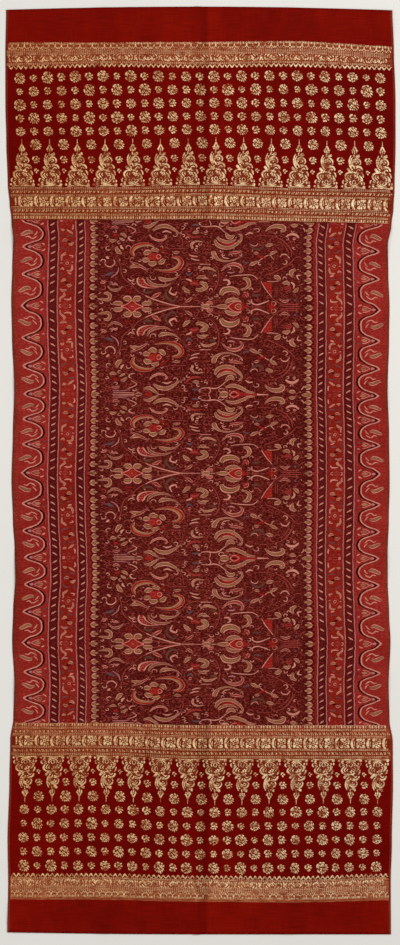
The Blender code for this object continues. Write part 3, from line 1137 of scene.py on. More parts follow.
def band_scroll():
    """One eye of the outer band's scroll row, with the leaves that curl away from it."""
    draft = Draft()
    eye = ((-2.0, -2.4), (-3.4, -0.6), (-2.0, 1.6), (0.2, 2.2), (1.2, 2.1))
    thread(draft, (1.0, 1.5, 1.6, 1.5, 1.0), eye)
    thread(draft, (1.0, 1.5, 1.5, 1.0), ((1.4, -2.3), (3.3, -1.2), (3.1, 0.7), (1.0, 2.0)))
    thread(draft, (0.8, 1.1, 0.8), ((-1.4, -0.9), (0.0, -0.2), (1.4, -0.8)))
    thread(draft, (0.7, 1.2, 0.7), ((-0.9, 0.6), (0.1, 1.0), (1.0, 0.6)))
    for side in (-1, 1):
        thread(draft, (0.8, 1.5, 0.8), ((side * 3.4, 2.8), (side * 4.6, 1.2), (side * 4.3, -1.2)))
        thread(draft, (0.8, 1.6, 0.8), ((side * 4.4, 3.0), (side * 6.2, 2.4), (side * 7.0, 0.6)))
        thread(draft, (0.7, 1.4, 0.7), ((side * 4.2, -3.2), (side * 5.9, -2.2), (side * 6.6, -0.6)))
        thread(draft, (0.7, 1.2, 0.7), ((side * 7.0, -3.2), (side * 8.6, -2.6), (side * 9.6, -0.9)))
        thread(draft, (0.8, 1.7, 0.8), ((side * 7.6, 2.8), (side * 8.9, 1.0), (side * 9.4, -0.6)))
    thread(draft, (0.8, 1.8, 0.9), ((10.6, 3.0), (11.8, 0.6), (11.2, -2.4)))
    thread(draft, (0.8, 1.7, 0.9), ((-10.6, 3.0), (-12.0, 1.4), (-11.9, -1.2)))
    thread(draft, (0.6, 1.1, 0.6), ((-10.8, -3.2), (-12.6, -2.8), (-13.4, -1.0)))
    return draft


def zigzag_step():
    """One point of the zigzag, thick at its foot."""
    draft = Draft()
    step = ((-2.5, -1.6), (-1.3, -0.2), (0.0, 1.4), (1.3, -0.2), (2.5, -1.6))
    thread(draft, (0.8, 1.2, 1.9, 1.2, 0.8), step)
    return draft


def arrowhead():
    """A small arrowhead with the dashes before and behind it."""
    draft = Draft()
    thread(draft, (0.7, 1.4, 0.9), ((-1.2, -1.3), (0.3, -0.5), (0.1, 1.2)))
    thread(draft, (0.5, 1.1, 0.6), ((-1.5, 1.2), (-0.9, 0.4), (-0.5, -0.1)))
    thread(draft, (0.5, 1.0, 0.5), ((0.9, -1.6), (1.5, -0.9), (1.3, -0.1)))
    return draft


def crescent():
    """The thick crescent of the inner band's main row, with the curl inside it."""
    draft = Draft()
    thread(draft, (1.1, 2.4, 2.7, 2.4, 1.2), ((2.6, -5.3), (0.7, -4.0), (-0.2, -0.2), (0.7, 3.6), (2.8, 5.1)))
    thread(draft, (0.5, 1.0, 1.1, 0.5), ((3.3, -3.4), (2.3, -1.6), (2.4, 0.8), (3.3, 2.4)))
    return draft


def blossom():
    """The full lobed blossom between two crescents, its four corner leaves filling the row."""
    draft = Draft()
    for turn in range(4):
        angle = math.pi / 4 + turn * math.pi / 2
        out_x, out_y = math.cos(angle), math.sin(angle)
        leaf = ((out_x * 2.0, out_y * 2.0), (out_x * 4.2, out_y * 4.4), (out_x * 5.8, out_y * 6.6))
        thread(draft, (1.2, 2.8, 1.6), leaf)
        vein_start = (out_x * 2.6 + out_y * 1.9, out_y * 2.6 - out_x * 1.9)
        vein_end = (out_x * 5.2 + out_y * 1.6, out_y * 5.6 - out_x * 1.6)
        thread(draft, (1.1, 1.1), (vein_start, vein_end))
    for side in (-1, 1):
        thread(draft, (1.4, 2.3, 1.2), ((0.0, side * 2.4), (0.0, side * 3.8), (0.0, side * 5.2)))
        thread(draft, (1.4, 2.1, 1.0), ((side * 2.4, 0.0), (side * 3.6, 0.0), (side * 4.8, 0.0)))
    for turn in range(5):
        angle = turn * math.tau / 5
        inner = [(math.cos(angle) * reach, math.sin(angle) * reach) for reach in (0.5, 1.3, 2.1)]
        thread(draft, (0.9, 1.4, 0.9), inner)
    return draft


def row_bar():
    """The upright bar at the left end of the main row."""
    draft = Draft()
    thread(draft, (1.2, 1.8, 1.2), ((0.0, -4.4), (0.2, 0.0), (0.0, 4.4)))
    return draft


def bead():
    """A bead of the inner band's last row."""
    draft = Draft()
    draft.dot((0.0, 0.0), BEAD_RADIUS, GOLD_TOP, GOLD_FOOT)
    return draft


def weft_line(width, first, last):
    """One gold weft thread laid right across."""
    draft = Draft()
    columns = np.arange(first, last + 1.0, WEFT_STEP)
    thread(draft, (width, width), [(float(x), 0.0) for x in columns])
    return draft


# Where the motifs of each gold end lie, as chart rows. step is 1 where rows count away from the hem.
End = namedtuple(
    "End",
    "step outer_edge outer_scale rosettes rosette_pitch rosette_first column_pitch"
    " base height trail inner_scale tumpal_first tumpal_pitch",
)
ENDS = (
    End(1, 41.6, 1.0, 76.4, 13.2, 19.7, 13.885, 184.9, 47.6, (42.3, 27.0, 15.8), 1.0, 20.9, 27.8),
    End(-1, 898.8, 0.893, 868.0, 13.95, 21.4, 13.80, 758.6, 45.8, (40.5, 26.5, 15.8), 0.994, 21.6, 27.58),
)
ROSETTE_COLUMNS = 27
ROSETTE_ROWS = 5
ROSETTE_UNEVEN = 0.13
ROSETTE_TILT = 4
TRAIL_UNEVEN = 0.08
TRAIL_TILT = 2
TUMPALS = 14
TUMPAL_UNEVEN = 0.02
BAND_UNEVEN = 0.05
GROUND_RADII = (4.7, 3.5, 2.2)
BAND_FIRST = 6.6
BAND_LAST = 394.0

Row = namedtuple("Row", "motif at first pitch half")
OUTER_ROWS = (
    Row(comb_tooth, 2.1, 12.0, 6.2, 2.6),
    Row(arch, 6.2, 12.0, 6.2, 2.2),
    Row(band_scroll, 16.5, 22.0, 25.3, 12.0),
    Row(zigzag_step, 24.3, 11.2, 4.92, 2.5),
)
OUTER_LINES = (8.6, 9.9, 11.3, 12.4, 20.9, 22.0)
INNER_ROWS = (
    Row(crescent, 15.7, 15.4, 16.12, 3.2),
    Row(blossom, 15.7, 24.3, 16.12, 4.8),
)
DIM_ROWS = (
    Row(arrowhead, 5.6, 10.2, 4.1, 1.6),
    Row(arrowhead, 25.6, 10.2, 4.1, 1.6),
    Row(bead, 32.1, 9.2, 3.2, 1.4),
)
BAR_AT = 15.7
BAR_COLUMN = 11.6
BEAD_RADIUS = 1.35
WEFT_STEP = 7.0
INNER_LINES = (1.1, 2.3, 8.7, 9.8, 21.4, 22.9, 28.7, 29.8, 33.6)
LINE_WIDTH = 0.7


def upside_down(end):
    """1 at the lower end, whose motifs are turned over, and 0 at the upper one."""
    return 0.0 if end.step > 0 else 1.0


def band_meshes(end, rows, edge, scale, material):
    """The motif rows of one gold band, counted from its edge."""
    meshes = []
    for row in rows:
        count = int((BAND_LAST - row.half - row.first) / row.pitch) + 1
        first_row = edge + end.step * row.at * scale
        meshes.append(repeated(
            row.motif(), material, columns=count, column_pitch=row.pitch, first_column=row.first,
            first_row=first_row, upside_down=upside_down(end), uneven=BAND_UNEVEN, tilt=BAND_UNEVEN,
        ))
    return meshes


def outer_bands(material):
    """Both outer bands, next to the plain ends."""
    meshes = []
    for end in ENDS:
        meshes += band_meshes(end, OUTER_ROWS, end.outer_edge, end.outer_scale, material)
    return meshes


def inner_bands(material):
    """Both inner bands, next to the dyed field."""
    meshes = []
    for end in ENDS:
        meshes += band_meshes(end, INNER_ROWS, end.base, end.inner_scale, material)
        middle = end.base + end.step * BAR_AT * end.inner_scale
        meshes.append(repeated(row_bar(), material, first_column=BAR_COLUMN, first_row=middle))
    return meshes


def stitched_lines(material):
    """The weft lines between the bands' rows, and the inner band's dim small rows."""
    meshes = []
    flat = weft_line(LINE_WIDTH, BAND_FIRST, BAND_LAST)
    for end in ENDS:
        meshes += band_meshes(end, DIM_ROWS, end.base, end.inner_scale, material)
        rows = [end.outer_edge + end.step * at * end.outer_scale for at in OUTER_LINES]
        rows += [end.base + end.step * at * end.inner_scale for at in INNER_LINES]
        meshes += [repeated(flat, material, first_row=row) for row in rows]
    return meshes


def flower_rows(end, draft, parity, material, uneven, seed):
    """One kind of flower, in every other place of the rows."""
    return repeated(
        draft, material, columns=ROSETTE_COLUMNS, rows=ROSETTE_ROWS, column_pitch=end.column_pitch,
        row_pitch=end.step * end.rosette_pitch, first_column=end.rosette_first, first_row=end.rosettes,
        alternate=1.0, parity=parity, uneven=uneven, tilt=uneven * ROSETTE_TILT, seed=seed,
    )


def trail_row(end, draft, out, material, uneven, seed):
    """One flower between each pair of pointed figures."""
    return repeated(
        draft, material, columns=TUMPALS - 1, column_pitch=end.tumpal_pitch,
        first_column=end.tumpal_first + end.tumpal_pitch / 2, first_row=end.base - end.step * out,
        uneven=uneven, tilt=uneven * TRAIL_TILT, seed=seed,
    )


def rosette_meshes(material):
    """The rows of large and small flowers, and those that trail between the pointed figures."""
    meshes = []
    large, small, tiny = flower(LARGE_FLOWER), flower(SMALL_FLOWER), flower(TINY_FLOWER)
    for number, end in enumerate(ENDS):
        for draft, parity in ((large, 0.0), (small, 1.0)):
            meshes.append(flower_rows(end, draft, parity, material, ROSETTE_UNEVEN, 11 + number))
        for draft, out in zip((large, small, tiny), end.trail):
            meshes.append(trail_row(end, draft, out, material, TRAIL_UNEVEN, 21 + number))
    return meshes


def standing(end, draft, material, uneven):
    """A pointed figure repeated along the base line of one end."""
    return repeated(
        draft, material, columns=TUMPALS, column_pitch=end.tumpal_pitch, first_column=end.tumpal_first,
        first_row=end.base, upside_down=upside_down(end), stretch=end.height / TUMPAL_HEIGHT, uneven=uneven,
    )


def tumpal_meshes(material):
    """The row of pointed figures at each end."""
    return [standing(end, tumpal(), material, TUMPAL_UNEVEN) for end in ENDS]


def worn_meshes(material):
    """The worn floats behind the flowers and the pointed figures."""
    meshes = []
    large, small, tiny = (round_ground(radius) for radius in GROUND_RADII)
    for end in ENDS:
        meshes.append(standing(end, worn_floats(TUMPAL_GROUND), material, 0.0))
        for draft, parity in ((large, 0.0), (small, 1.0)):
            meshes.append(flower_rows(end, draft, parity, material, 0.0, 1))
        for draft, out in zip((large, small, tiny), end.trail):
            meshes.append(trail_row(end, draft, out, material, 0.0, 1))
    return meshes


# Dyed figures. Each is drafted in squares: columns of the chart, and rows from where the pattern
# turns back at a lotus bud.

Figure = namedtuple("Figure", "outline cores widths path")


def figure_table(groups):
    """A table of figures, grouped by the dyes of the outline and then of the cores on it, if any.

    Two cores are named from the left of the path's run to its right. A point that lies on a turn may
    be given by its column alone.
    """
    made = []
    for dyes, rows in groups.items():
        outline, _, cores = dyes.partition(" ")
        for widths, path in rows:
            points = [point if isinstance(point, tuple) else (point, 0) for point in path]
            made.append(Figure(outline, cores, widths, points))
    return tuple(made)


FIELD_FIGURES = figure_table({
    "cream olive": (
        ((1.5, 3.2, 3.8, 3.4, 1), ((104, 73.7), (108, 73.4), (110.6, 76), (108.7, 79.9), (98, 79))),
        ((1, 3.2, 1), ((107.6, 66), (111.8, 69.5), (115.6, 70.3), (120.2, 68.8), (123.3, 65.7))),
        ((1, 4.8, 1.5), ((129.5, 47.8), (135, 45.8), (141.6, 46.8))),
        ((0.8, 2.8, 3.2, 2, 0.6), ((147, 57), (149.6, 61.6), (156.2, 65.2), (166.1, 65.4), (172, 62.6))),
        ((1.5, 4.6, 3, 1.5, 0.6),
         ((158.5, 56.9), (162.3, 59.2), (168.4, 59.6), (174.5, 58.4), (180.6, 53.9))),
        ((3, 6.2, 3.4), ((143.6, 34.4), (147, 32.2), (151.4, 32.4))),
        ((2.6, 5.6, 3.2), ((142.4, 39), (145.8, 40), (149.6, 38.8))),
        ((2.8, 5.8, 3.2), ((148.4, 42.2), (152.6, 43.8), (157, 42))),
        ((2.8, 5.8, 3), ((158.4, 42.8), (162.2, 41.6), (164.6, 38.4))),
        ((2.2, 4.6, 2.4), ((150.5, 30), (155, 29.4), (159, 31.4))),
        ((2, 4.2, 4.4, 3, 1.2), ((152.3, 10.4), (158.5, 6.6), (166.1, 5.9), (173, 8.9), (179.4, 13.6))),
        ((1.4, 3.6, 1.6), ((108.6, 19.2), (112, 20.8), (116, 19.6))),
        ((1.4, 3.4, 1.6), ((119.6, 13.6), (123, 14.2), (126.6, 17))),
        ((1, 2.6, 1.4), ((119, 17.4), (121.6, 19.2), (124.6, 20.2))),
        ((2, 4.2, 4.8, 1.2), ((115.8, 26), (116.4, 29.2), (118.4, 31.8), (122, 34))),
        ((2, 4.4, 2), ((182.8, 66.6), (186.5, 70.4), (190.5, 72.4))),
        ((2, 4.2, 2.2), ((195.4, 68.8), (200, 70), (204.4, 66.8))),
        ((1.4, 3.2, 1.6), ((196.6, 58.6), (201, 56.6), (206.2, 56))),
        ((1.4, 3.6, 1.8), ((201.4, 62.2), (205, 63.4), (208, 65.8))),
        ((1, 3.8, 1), ((191.8, 12.7), (195.3, 12.3), (199, 12.7))),
        ((1, 3.2, 1), ((172.2, 32), (176, 32.4), (180.4, 31.4))),
        ((2, 2.8, 1.8, 0.8), ((192.6, 29), (191.6, 24.2), (195.9, 21.3), (203, 21.8))),
        ((2.4, 4.4, 3.9, 3.8, 3.4, 2.4, 1),
         ((214.4, 19.2), (217.4, 24.6), (223.4, 27.2), (230.4, 27), (237, 23.2), (241.6, 18.2),
          (240.8, 12.8))),
        ((2.2, 3.8, 3.4, 2.2, 0.8), ((216.8, 16.8), (221, 20), (226.8, 21.6), (232, 21), (236.8, 18.6))),
        ((1.4, 4.6, 4.4, 1.6), ((225, 12.4), (228, 16.2), (231.4, 17), (234.4, 14.2))),
        ((3.6, 5.8, 4, 2, 1.6, 1.2, 0.6),
         ((213.6, 30.6), (213.8, 33.5), (216.2, 37.2), (220.9, 40.1), (228.3, 40.9), (236, 38.8),
          (243, 35.3))),
        ((1, 3.2, 4.8, 5.2, 4, 1.6),
         ((264.6, 10), (268.9, 5.9), (275, 4.3), (281.1, 5.1), (283.2, 8.1), (279.4, 9.9))),
        ((1.2, 4.4, 1.6), ((265.3, 24.8), (269.2, 23.9), (273.4, 22.8))),
        ((1.2, 3.8, 1.2), ((269, 34.4), (273.5, 31.7), (277.6, 29.8))),
        ((1.4, 4.2, 1.2), ((249.3, 44.7), (253.2, 43.1), (259, 40.3))),
        ((1.2, 3.2, 1.2), ((253.6, 32.6), (256.4, 32.4), (259.2, 33.2))),
        ((1, 2.6, 2.4, 1), ((199.8, 50.8), (204.6, 47.9), (210.7, 48.5), (216.4, 51.2))),
        ((3, 5, 2.6), ((273.6, 55.7), (277.6, 56.5), (280.3, 59.4))),
        ((2.2, 4.8, 1.6), ((295.9, 47.8), (291.3, 51.2), (292.9, 56.2))),
        ((1.8, 4.2, 1.5), ((282.1, 62.7), (286.5, 61.5), (289.9, 64))),
        ((1.4, 4, 1.4), ((292.4, 71.2), (296, 69.2), (298.4, 66))),
        ((4, 6.8, 6.2, 4.6, 1.4), ((220.7, 75), (223.7, 70.4), (230.6, 68.8), (236.7, 70.9), (239.2, 75))),
        ((1.6, 4.8, 4.4, 2.4, 0.8),
         ((242.6, 57.8), (247.4, 59.2), (249.2, 63.8), (245.9, 67.8), (240.6, 68.7))),
        ((2, 4.2, 4.6, 3, 1), ((199.6, 62.6), (203, 63.4), (206.5, 66.5), (203, 69.7), (199.2, 71.2))),
        ((1, 2.6, 1), ((198.8, 56.2), (203, 57.5), (208.9, 58.4))),
    ),
    "cream rose": (
        ((1, 2.4, 1), ((112.5, 65.4), (115.5, 63.8), (118.5, 65.4))),
        ((0.8, 2.2, 2.4, 2, 1.6, 1),
         ((148.5, 14.1), (152.3, 17.9), (158.5, 20.2), (164.6, 18.9), (166.3, 16), (163.6, 15))),
        ((1, 3.2, 1), ((110.6, 8), (114.8, 6.6), (118.8, 8.2))),
        ((1.4, 3, 1.4), ((292.6, 16.2), (294.4, 16.8), (296.4, 16.8))),
        ((1, 2.4, 4, 4, 2.6, 1),
         ((221.2, 51), (226.8, 45.6), (233.7, 43.9), (239.9, 45.6), (242.2, 50), (238.8, 52.5))),
        ((1, 3.2, 1), ((278.6, 78.1), (284.2, 80.6), (289.8, 78))),
    ),
    "cream red": (
        ((1.2, 3.2, 1), ((129.8, 41.4), (137.8, 44.7), (143.2, 47.7), (148.5, 50.8))),
        ((4.2, 8.6, 8.8, 6.2, 3.4, 1.8, 0.8),
         ((140.9, 57.2), (140.7, 60.2), (142.6, 63.4), (147.2, 65.9), (153, 67.2), (159, 67.4))),
        ((1, 2.8, 1), ((100.5, 63.6), (104, 62.4), (107.4, 61.2))),
        ((1, 4.2, 1), ((151.6, 77), (156.2, 75.4), (161.8, 72))),
        ((1, 3.2, 1), ((185, 82.2), (189.1, 79.9), (193.1, 76.6))),
        ((1.8, 3.4, 1.8), ((187.4, 50.4), (189.2, 50.2), (191, 50.4))),
        ((0.8, 3.4, 0.8), ((228.8, 32), (235.6, 32), (243.2, 30.8))),
        ((2, 4.2, 1.2), ((242.8, 72.6), (246.5, 73.8), (247.6, 77.4))),
    ),
    "red": (
        ((4, 8.2, 8, 4), ((147.6, 36.6), (151.6, 36.4), (156.6, 36.8), (161, 37))),
        ((0.7, 1.4, 0.7), ((157.5, 31.5), (161, 29.4), (165, 31))),
        ((0.7, 1.4, 0.7), ((162.5, 33.8), (165.6, 32.2), (168.6, 34.4))),
        ((2.4, 3.2, 2.4), ((112.6, 15.4), (114.6, 15), (116.6, 15.6))),
        ((1.2, 2, 2, 1), ((219.4, 20.8), (223.6, 23.6), (229.6, 24.1), (236, 21.2))),
        ((1, 2.2, 1), ((257.2, 34.3), (261.5, 36.5), (266.3, 37.5))),
    ),
    "red rose": (
        ((1.9, 2.1, 1.9), ((149.4, 36.5), (151.8, 34.2), (154.4, 36.5), (151.8, 38.9), (149.4, 36.5))),
        ((3, 5.8, 3), ((190.2, 64), (194.4, 63), (198.8, 64.8))),
    ),
    "red cream": (
        ((1.7, 1.9, 1.7), ((156, 36.4), (158.4, 34.2), (161, 36.4), (158.6, 38.8), (156, 36.4))),
    ),
    "rose": (
        ((0.7, 1.2, 0.7), ((163, 27.8), (167, 27.6), (170, 30))),
        ((0.7, 1.2, 0.7), ((164.6, 36.6), (168, 37.4), (169.4, 40))),
        ((0.9, 0.9), ((179.4, 13.4), (182.2, 21), (181.8, 27.8))),
        ((0.7, 1.1, 0.7), ((127, 9), (131, 10.2), (131.4, 12))),
        ((0.9, 1.1, 0.9),
         ((114.1, 37), (118.7, 41.6), (121, 47), (121.7, 53.1), (124.8, 59.2), (130.9, 63.8),
          (138.6, 71.5), (146.2, 76))),
        ((0.7, 1.2, 0.7), ((120.2, 43.1), (124.8, 44.5), (127.3, 42.9))),
        ((0.6, 1, 0.6), ((99.4, 28), (104.4, 27), (107, 24.2), (103.6, 22.4))),
        ((0.8, 1.1, 0.8), ((151, 82.4), (165, 84.8), (180.6, 86.4))),
        ((0.8, 0.9), ((180.6, 86.4), (185.4, 82))),
        ((0.9, 0.9), ((169.8, 28.6), (178, 28.4), (186, 28.6))),
        ((0.8, 1, 0.8), ((182.9, 50), (187.5, 45.4), (195.9, 43.1), (206, 43.9))),
        ((0.7, 1.2, 0.7), ((191, 32.2), (196, 33), (201, 32.4))),
        ((0.7, 1.2, 0.7), ((268.6, 12.8), (268.3, 9.8), (271.7, 10.3), (273.2, 13))),
        ((1.1, 0.9), ((273.4, 22.6), (277, 24), (280.4, 22.4))),
        ((0.7, 1.1, 0.7), ((245.4, 14.9), (249, 17), (253, 15.7))),
        ((0.8, 0.8), ((256, 14.5), (264, 14.2), (271.4, 14.7))),
        ((0.8, 1.1, 1, 0.8), ((271.2, 14.8), (280.5, 17.4), (287.4, 22.7), (291.2, 29.6), (292, 36))),
        ((0.6, 0.9, 0.6), ((277, 19.6), (284, 23.6), (288, 29.8), (288.8, 35))),
        ((0.9, 1.2, 0.9), ((295.2, 36.1), (290.4, 41.7), (282.6, 47), (273.5, 51.7), (264.3, 54.8))),
        ((0.7, 1.2, 0.7), ((294.8, 36.4), (298.8, 35.2), (301.8, 36.6))),
        ((0.8, 1.1, 1.1, 0.8),
         ((213, 42.6), (217, 47), (218.5, 51), (218.7, 59.2), (215.3, 68.4), (209.2, 75))),
        ((0.7, 0.9, 0.7), ((275, 65), (274.9, 71), (274.3, 77.2))),
        ((0.7, 0.9, 0.7), ((277, 66), (276.9, 71), (276.3, 76.6))),
        ((0.7, 1.3, 0.7), ((227.6, 75), (233, 73.5), (238.2, 76.4))),
        ((0.7, 1.1, 0.7), ((253.3, 78.4), (256, 79.6), (260, 79.2))),
        ((0.9, 1.2, 0.9), ((271.9, 77.4), (277.3, 81.4), (281.7, 83.9))),
        ((0.8, 1.1, 0.8), ((298.5, 79.3), (300.2, 76), (304.3, 73.5))),
        ((0.8, 1.3, 0.8), ((253.4, 70.7), (257.4, 70.9), (261.4, 67.4))),
    ),
    "cream red olive": (
        ((1.6, 4.6, 5.2, 4.6, 3, 1.2),
         ((134.5, 37), (131.9, 31.7), (134.9, 26.9), (141.6, 24.5), (150, 24.6), (155.8, 28.6))),
        ((1.4, 4, 6, 5.6, 4, 2.2, 0.8),
         ((171.5, 37.2), (178, 37.8), (181.2, 42.4), (178.3, 47.4), (170.7, 50.6), (162.3, 50.6),
          (153.9, 49.2))),
    ),
    "cream": (
        ((0.6, 1.8, 0.6), ((161.5, 12.2), (166.1, 10.9), (171.5, 12.8))),
        ((0.8, 1.2, 0.8), ((126, 5.6), (131.2, 7.2), (135.6, 10.2), (130.4, 13.6))),
        ((0.7, 1.4, 0.7), ((131, 16), (128.2, 17.4), (130.2, 20), (134.6, 20.6))),
        ((1.2, 2.4, 0.8), ((120.4, 24.8), (121.2, 27.4), (123.8, 29.2))),
        ((0.7, 1.3, 0.7), ((113.6, 39), (115, 43.2), (112, 46.6), (107.6, 46.4), (105.1, 43.8))),
        ((1.2, 2.4, 1), ((106, 36.6), (107.6, 37.8), (109.2, 38.8))),
        ((0.7, 1.3, 0.7), ((127.8, 58.4), (130.9, 60.8), (134.9, 59.2))),
        ((0.8, 2, 1.8, 0.8), ((172.2, 66.9), (169.9, 72.2), (175.3, 74.6), (176.6, 71.4))),
        ((0.9, 1.3, 0.9), ((145.4, 75.5), (153.9, 79.1), (169.2, 83.9), (180.6, 86.2))),
        ((1, 2.2, 1), ((185.8, 58.8), (190, 60), (192.4, 62))),
        ((1.2, 2, 1.2), ((195.4, 26.4), (196.7, 26.2), (198, 26.6))),
        ((0.7, 1.4, 0.7), ((190.6, 37.8), (195, 39.6), (200, 40.2))),
        ((0.7, 1.4, 0.7), ((188.6, 34.4), (193, 36), (198.4, 36.4))),
        ((0.7, 1.2, 0.7), ((220.7, 33.8), (223.9, 37.4), (229.8, 38.3))),
        ((1.2, 2.4, 2.6, 1.8), ((285.5, 15), (289.5, 12.5), (294.9, 12.5), (299.2, 15.9))),
        ((0.8, 1, 0.8), ((258.8, 40.4), (264, 36.8), (269.5, 34), (272.6, 37), (274.4, 38.6))),
        ((0.8, 1.8, 0.8), ((245, 14.3), (248.8, 12), (252.9, 12.6))),
        ((0.7, 1.1, 0.7), ((250, 22.3), (252.5, 24.8), (256.2, 25), (257.9, 22.2))),
        ((0.7, 1.3, 0.7), ((280.2, 36.2), (282, 33.7), (286.2, 33.2), (289.7, 37))),
        ((0.7, 1.2, 0.7), ((284.6, 38.4), (287.2, 40.8), (285.2, 43.4), (282.3, 42.2))),
        ((0.8, 0.8), ((199.6, 44.4), (205, 44), (211.4, 44.2))),
        ((0.8, 1.2, 0.8), ((229.6, 56.3), (238.3, 55), (252, 54.7), (258.4, 59.2))),
        ((1.1, 0.8), ((278.6, 60), (272, 60.9), (266.4, 60.7))),
        ((0.8, 1.7, 0.8), ((301.2, 53.7), (297, 54.6), (298.8, 58.8))),
        ((0.9, 1.2, 0.8), ((260.6, 60.4), (265.6, 68.6), (272.2, 77.4))),
        ((1, 2.4, 1), ((290.8, 60.9), (293.7, 63.4), (293.3, 67.4))),
        ((1, 1.9, 2.2, 1), ((222.8, 60), (227.5, 59.8), (229.7, 63), (226.6, 64.9))),
        ((0.7, 1.2, 1.3, 1.3, 1),
         ((269.2, 79.7), (263.5, 82.2), (256.6, 84.2), (251.6, 82.5), (251.3, 78.8))),
        ((0.7, 1.3, 0.8), ((200, 5.9), (206, 6.6), (213.8, 5.9), (219, 7.4), (225.4, 12.6))),
    ),
    "mauve": (
        ((0.7, 1.3, 0.7), ((118.9, 47), (117.3, 53.1), (111, 57.9))),
        ((0.8, 1.6, 0.8), ((227, 51.8), (231, 52.6), (235, 51.6))),
    ),
    "slate": (
        ((1, 3.2, 1), ((104.5, 55.2), (109.5, 54.2), (114.3, 51.7))),
        ((1, 2.4, 1), ((185.6, 52.2), (189.1, 54.9), (192.9, 51.8))),
        ((2, 2.8, 2), ((293.4, 79.3), (294.6, 79), (295.8, 79.3))),
        ((1, 2.4, 1), ((191.3, 5.2), (194.5, 4.6), (198.4, 5.5))),
        ((0.8, 2, 0.8), ((242, 40.4), (246, 42.4), (249.4, 42))),
    ),
    "moss": (
        ((1, 3.4, 1), ((142.6, 71.2), (148, 72.6), (153.4, 71))),
        ((1, 2.6, 2.8, 2.4, 1), ((168.4, 68.4), (165.7, 73.7), (168.4, 78.5), (173, 80.8), (177, 78.3))),
        ((0.8, 1.8, 2.6, 2.4, 1), ((249, 21.7), (252, 26.5), (258.1, 28.8), (262.9, 26.3), (262.9, 23))),
        ((1, 3, 1), ((208.6, 52.6), (212, 53), (216, 53.6))),
        ((1, 2.8, 1), ((251, 74.2), (256, 75), (261, 73.4))),
    ),
    "rose red": (
        ((1, 2.2, 2.2, 1), ((184.4, 10.8), (189.1, 15.4), (195.9, 17.1), (201, 16.2))),
        ((1.6, 4, 1.6), ((284.1, 68.6), (288, 66.4), (291.4, 68.6))),
    ),
})

# Figures that lie on a turn: rows are from it, and each is drawn on both of its sides.
BUD_FIGURES = figure_table({
    "cream": (
        ((0.7, 0.9, 0.7), ((112, 1.7), (124, 1.7), (134, 1.4))),
        ((0.8, 1.1, 0.8), ((208.4, 7.6), (210, 3.7), (208.2, 0.2))),
        ((0.7, 1.2, 0.7), ((301, 5.4), (303, 7), (304, 9.4))),
    ),
    "mauve": (
        ((0.7, 0.9, 0.7), ((111, 3.6), (121, 3.5), (129, 4.6))),
    ),
    "cream olive": (
        ((1.5, 3.8, 3.4, 1), ((142.4, 5.6), (148.3, 6.4), (152.5, 4), (158, 0.6))),
        ((1.8, 4, 3.8, 2.8, 1.8), ((225, 7), (233, 8.8), (241.3, 6.3), (247.6, 2.9), (254.6, 1.5))),
        ((1.4, 4.2, 1), ((288.8, 2.9), (292.5, 3.3), (296.4, 2.2))),
    ),
    "red cream": (
        ((1.8, 1.8), ((229.4, 0), (231.6, 2.2), (234.4, 2.9), (236.8, 1.7), (239.2, 0))),
    ),
    "rose": (
        ((0.7, 1, 0.7), ((143.6, 2.6), (147, 3.4), (151.6, 0.6))),
        ((0.7, 1, 0.7), ((254.4, 5.4), (254.8, 2.6), (254.4, 0.4))),
        ((0.8, 1, 0.7), ((295.2, 0.2), (297.4, 1.6), (300, 3.4))),
        ((0.7, 1.1, 0.7), ((200, 2.6), (203.6, 1), (207, 0.2))),
    ),
})
BUD_MIDDLES = figure_table({
    "cream": (
        ((0.7, 1, 0.8), (111, 124, 135)),
        ((0.9, 0.7), (157, 160, 164.6)),
        ((2, 1.3, 0.5), (256.6, 262, 269)),
    ),
    "cream moss": (
        ((1, 4.8, 1.2), (133.8, 137.5, 142)),
    ),
    "red": (
        ((2, 4.4, 1.4), (143.4, 146.4, 151)),
        ((4, 9.4, 8.4, 2.5), (230.8, 233.8, 238, 243.2)),
    ),
    "cream olive": (
        ((3, 7.6, 7.4, 3), (219.2, 222, 225.4, 228.4)),
        ((1, 3.6, 1), (301.6, 305, 309)),
    ),
    "red dark": (
        ((1.6, 4.4, 1.6), (231.2, 233.6, 236.4)),
    ),
    "red rose": (
        ((1.8, 1.8), ((231.4, 0), (233.6, -0.9), (235.6, 0), (233.6, 0.9), (231.4, 0))),
    ),
    "rose red": (
        ((3, 3.4, 2.8, 2.2), (243, 248, 253, 257)),
    ),
})
